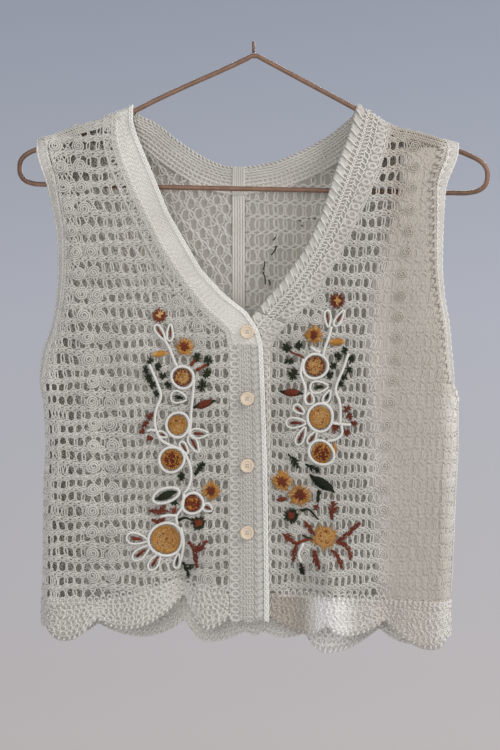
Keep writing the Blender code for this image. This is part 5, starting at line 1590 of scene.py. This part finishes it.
def workCord(kept, points):
    line = smoothLine(points, 2.4)
    kept["cord"].append((np.column_stack([line, np.full(len(line), embroidery["cordLift"])]), False, None))


def embroider(side):
    kept = {"mustard": [], "ochre": [], "rust": [], "green": [], "cord": []}
    workers = {"burst": workBurst, "pad": workPad, "ring": workRing, "loop": workLoop, "tufts": workTufts,
               "fern": workFern, "leaf": workLeaf, "twig": workTwig, "cord": workCord, "sprig": workSprig}
    for kind, *rest in embroidery[side]:
        workers[kind](kept, *rest)
    word = sideNames[side].lower()
    flowers = [name for name in nodes if name.startswith("flower_") and name.endswith(word)]
    cords = [name for name in nodes if name.startswith("cord_") and name.endswith(word)]
    for colour, strands in kept.items():
        placed = laid(strands, lambda flat: onCloth(front, flat[:, 0], flat[:, 1], flat[:, 2], side))
        if colour == "cord":
            yarnPiece("cordCords" + sideNames[side], placed, embroidery["cord"], "cord", sides=6,
                      replaced=cords)
        else:
            yarnPiece(colour + "Stitches" + sideNames[side], placed, embroidery["thread"], colour,
                      replaced=flowers)


def looseThreads():  # dark ends left on the inside of the back
    strands = []
    for startX, startDrop, endX, endDrop in embroidery["loose"]:
        middle = ((startX + endX) / 2 + 0.8, (startDrop + endDrop) / 2)
        line = smoothLine([(startX, startDrop), middle, (endX, endDrop)])
        strands.append((onCloth(back, line[:, 0], line[:, 1], -2.0, left), False, None))
    yarnPiece("looseThreadsBack", strands, embroidery["looseThread"], "green", replaced=["back_left"])


stage("embroidery")
embroider(right)
embroider(left)
looseThreads()


# hanger and buttons
hanger = {
    "wire": 4.6, "hookWire": 2.8, "hookInner": 3.1, "hookTurn": 250, "hookPoints": 33,
    "route": [  # x, drop: round from the peak, down the right arm, along the bar and up the left arm
        (-2.2, 11.3), (-7.5, 14.4), (-28, 24), (-50.4, 33.9), (-72, 43.6), (-92.7, 53.3), (-110.2, 62.2),
        (-135, 73.4), (-149, 79), (-172.7, 87.6), (-204.3, 99.4), (-212.2, 103), (-216.6, 106.4),
        (-219.4, 111), (-220, 116.7), (-219.4, 122.3), (-216.4, 127), (-212.2, 129.8), (-206.6, 131.4),
        (-197.2, 132.1), (-140, 133.4), (-60, 135.2), (60, 137.6), (140, 139.3), (189.6, 140.2), (202, 140),
        (211.8, 137.8), (217.6, 133.2), (220.1, 126.4), (219.8, 119.4), (216.8, 113.4), (211.3, 108.9),
        (203.8, 105.2), (191.8, 100.4), (166.1, 93), (145.4, 87.2), (128.5, 81.8), (113.4, 71.6),
        (97.4, 61.8), (72, 48), (43.8, 32.9), (24, 22.2), (9.4, 14.4), (4, 11.3)],
}
buttonThread = {"apart": 1.5, "half": 1.5, "sunk": 1.2, "crest": 0.75, "thick": 0.8}

stage("hanger and buttons")
line = smoothLine(hanger["route"], 2.0)
line = np.column_stack([line[:, 0], np.zeros(len(line)), -line[:, 1]]) * mm
yarnPiece("hangerWire", [(line, True, None)], hanger["wire"], "wire", sides=12, replaced=["hanger_frame"])
bend = hanger["hookInner"] + hanger["hookWire"] / 2
turn = np.radians(-90 - hanger["hookTurn"] * np.linspace(0, 1, hanger["hookPoints"]))
hook = np.column_stack([np.zeros(len(turn)), bend * np.cos(turn), bend * np.sin(turn) - hanger["hookInner"]])
yarnPiece("hangerHook", [(hook * mm, False, None)], hanger["hookWire"], "wire", sides=12,
          replaced=["hanger_hook"])

for number in range(1, 5):
    button = bpy.data.objects[f"button_{number}"]
    for slot in button.material_slots:
        slot.material = finishes["wood"]
    low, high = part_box(f"button_{number}")
    middle = [(a + b) / 2 / mm for a, b in zip(low, high)]
    bars = []
    for side in (-1, 1):     # two thread bars through the four holes
        x, face = middle[0] + side * buttonThread["apart"], low[1] / mm
        bar = [(x, face + buttonThread["sunk"], middle[2] - buttonThread["half"]),
               (x, face + buttonThread["crest"], middle[2]),
               (x, face + buttonThread["sunk"], middle[2] + buttonThread["half"])]
        bars.append((np.array(bar) * mm, False, None))
    yarnPiece(f"buttonThread{number}", bars, buttonThread["thick"], "cord")


# camera, light and floor
view = {
    "place": (-0.0033, -1.518, -0.3115), "lens": 77.42,
    # place, aim, size, power and colour of each lamp
    "keyLight": ((1.6, -0.85, 0.8), (0, 0, -0.32), 1.0, 24.8, (1, 0.975, 0.94)),
    "frontLight": ((-0.35, -2.2, 0.0), (0, 0, -0.32), 1.2, 18.8, (1, 0.985, 0.96)),
    "backLight": ((0.3, 1.6, 0.3), (0, 0, -0.32), 1.2, 36, (1, 1, 1)),
    "insideLight": ((0, 0.004, -0.33), (0, 1, -0.33), 0.34, 0.105, (1, 1, 1), 0.40),
    # share of the sky's height, colour; the strength grows a little towards the key light
    "sky": [(0, (0.49, 0.457, 0.457)), (0.58, (0.415, 0.43, 0.485)), (1, (0.29, 0.32, 0.39))],
    "skyHeight": 0.24, "skyWidth": 0.16, "skyStrength": (0.97, 1.05),
    "floor": -1.72, "floorRadius": 3.6, "floorColour": (0.76, 0.75, 0.75, 1),
}

stage("camera, light and floor")
eye = bpy.data.cameras.new("camera")
eye.lens = view["lens"]
eye.sensor_fit = "AUTO"
eye.clip_start = 0.05
camera = bpy.data.objects.new("camera", eye)
camera.location = view["place"]
camera.rotation_euler = (math.pi / 2, 0, 0)
bpy.context.scene.collection.objects.link(camera)
bpy.context.scene.camera = camera


def softLight(name, place, aim, size, power, colour, tall=None):
    lamp = bpy.data.lights.new(name, "AREA")
    lamp.shape = "RECTANGLE" if tall else "DISK"
    lamp.size = size
    lamp.size_y = tall or size
    lamp.energy = power
    lamp.color = colour
    made = bpy.data.objects.new(name, lamp)
    made.location = place
    along = [a - b for a, b in zip(aim, place)]
    made.rotation_euler = Vector(along).to_track_quat("-Z", "Y").to_euler()
    bpy.context.scene.collection.objects.link(made)
    return made


for name in ("keyLight", "frontLight", "backLight"):
    softLight(name, *view[name])
softLight("insideLight", *view["insideLight"]).visible_camera = False

world = bpy.data.worlds.new("studio")
world.use_nodes = True
bpy.context.scene.world = world
tree = world.node_tree
background = tree.nodes["Background"]
height, width = view["skyHeight"], view["skyWidth"]
dimmest, brightest = view["skyStrength"]
place = addNode(tree, "TexCoord").outputs["Generated"]
parts = addNode(tree, "SeparateXYZ", sources={"Vector": place})
spread = addNode(tree, "MapRange", {"From Min": -height, "From Max": height}, {"Value": parts.outputs["Z"]})
tree.links.new(addRamp(tree, spread.outputs["Result"], view["sky"]), background.inputs["Color"])
across = addNode(tree, "MapRange", {"From Min": -width, "From Max": width, "To Min": dimmest,
                                    "To Max": brightest}, {"Value": parts.outputs["X"]})
tree.links.new(across.outputs["Result"], background.inputs["Strength"])

work = bmesh.new()
bmesh.ops.create_circle(work, cap_ends=True, segments=96, radius=view["floorRadius"])
bmesh.ops.translate(work, verts=work.verts, vec=(0, 0, view["floor"]))
mesh = bpy.data.meshes.new("floor")
work.to_mesh(mesh)
work.free()
floor = bpy.data.objects.new("floor", mesh)
bpy.context.scene.collection.objects.link(floor)
mesh.materials.append(newMaterial("paleFloor", {"Base Color": view["floorColour"], "Roughness": 0.8})[0])

bpy.context.scene.view_settings.view_transform = "Standard"

stage("sizes")
print("triangles", sum(counted.values()), counted)
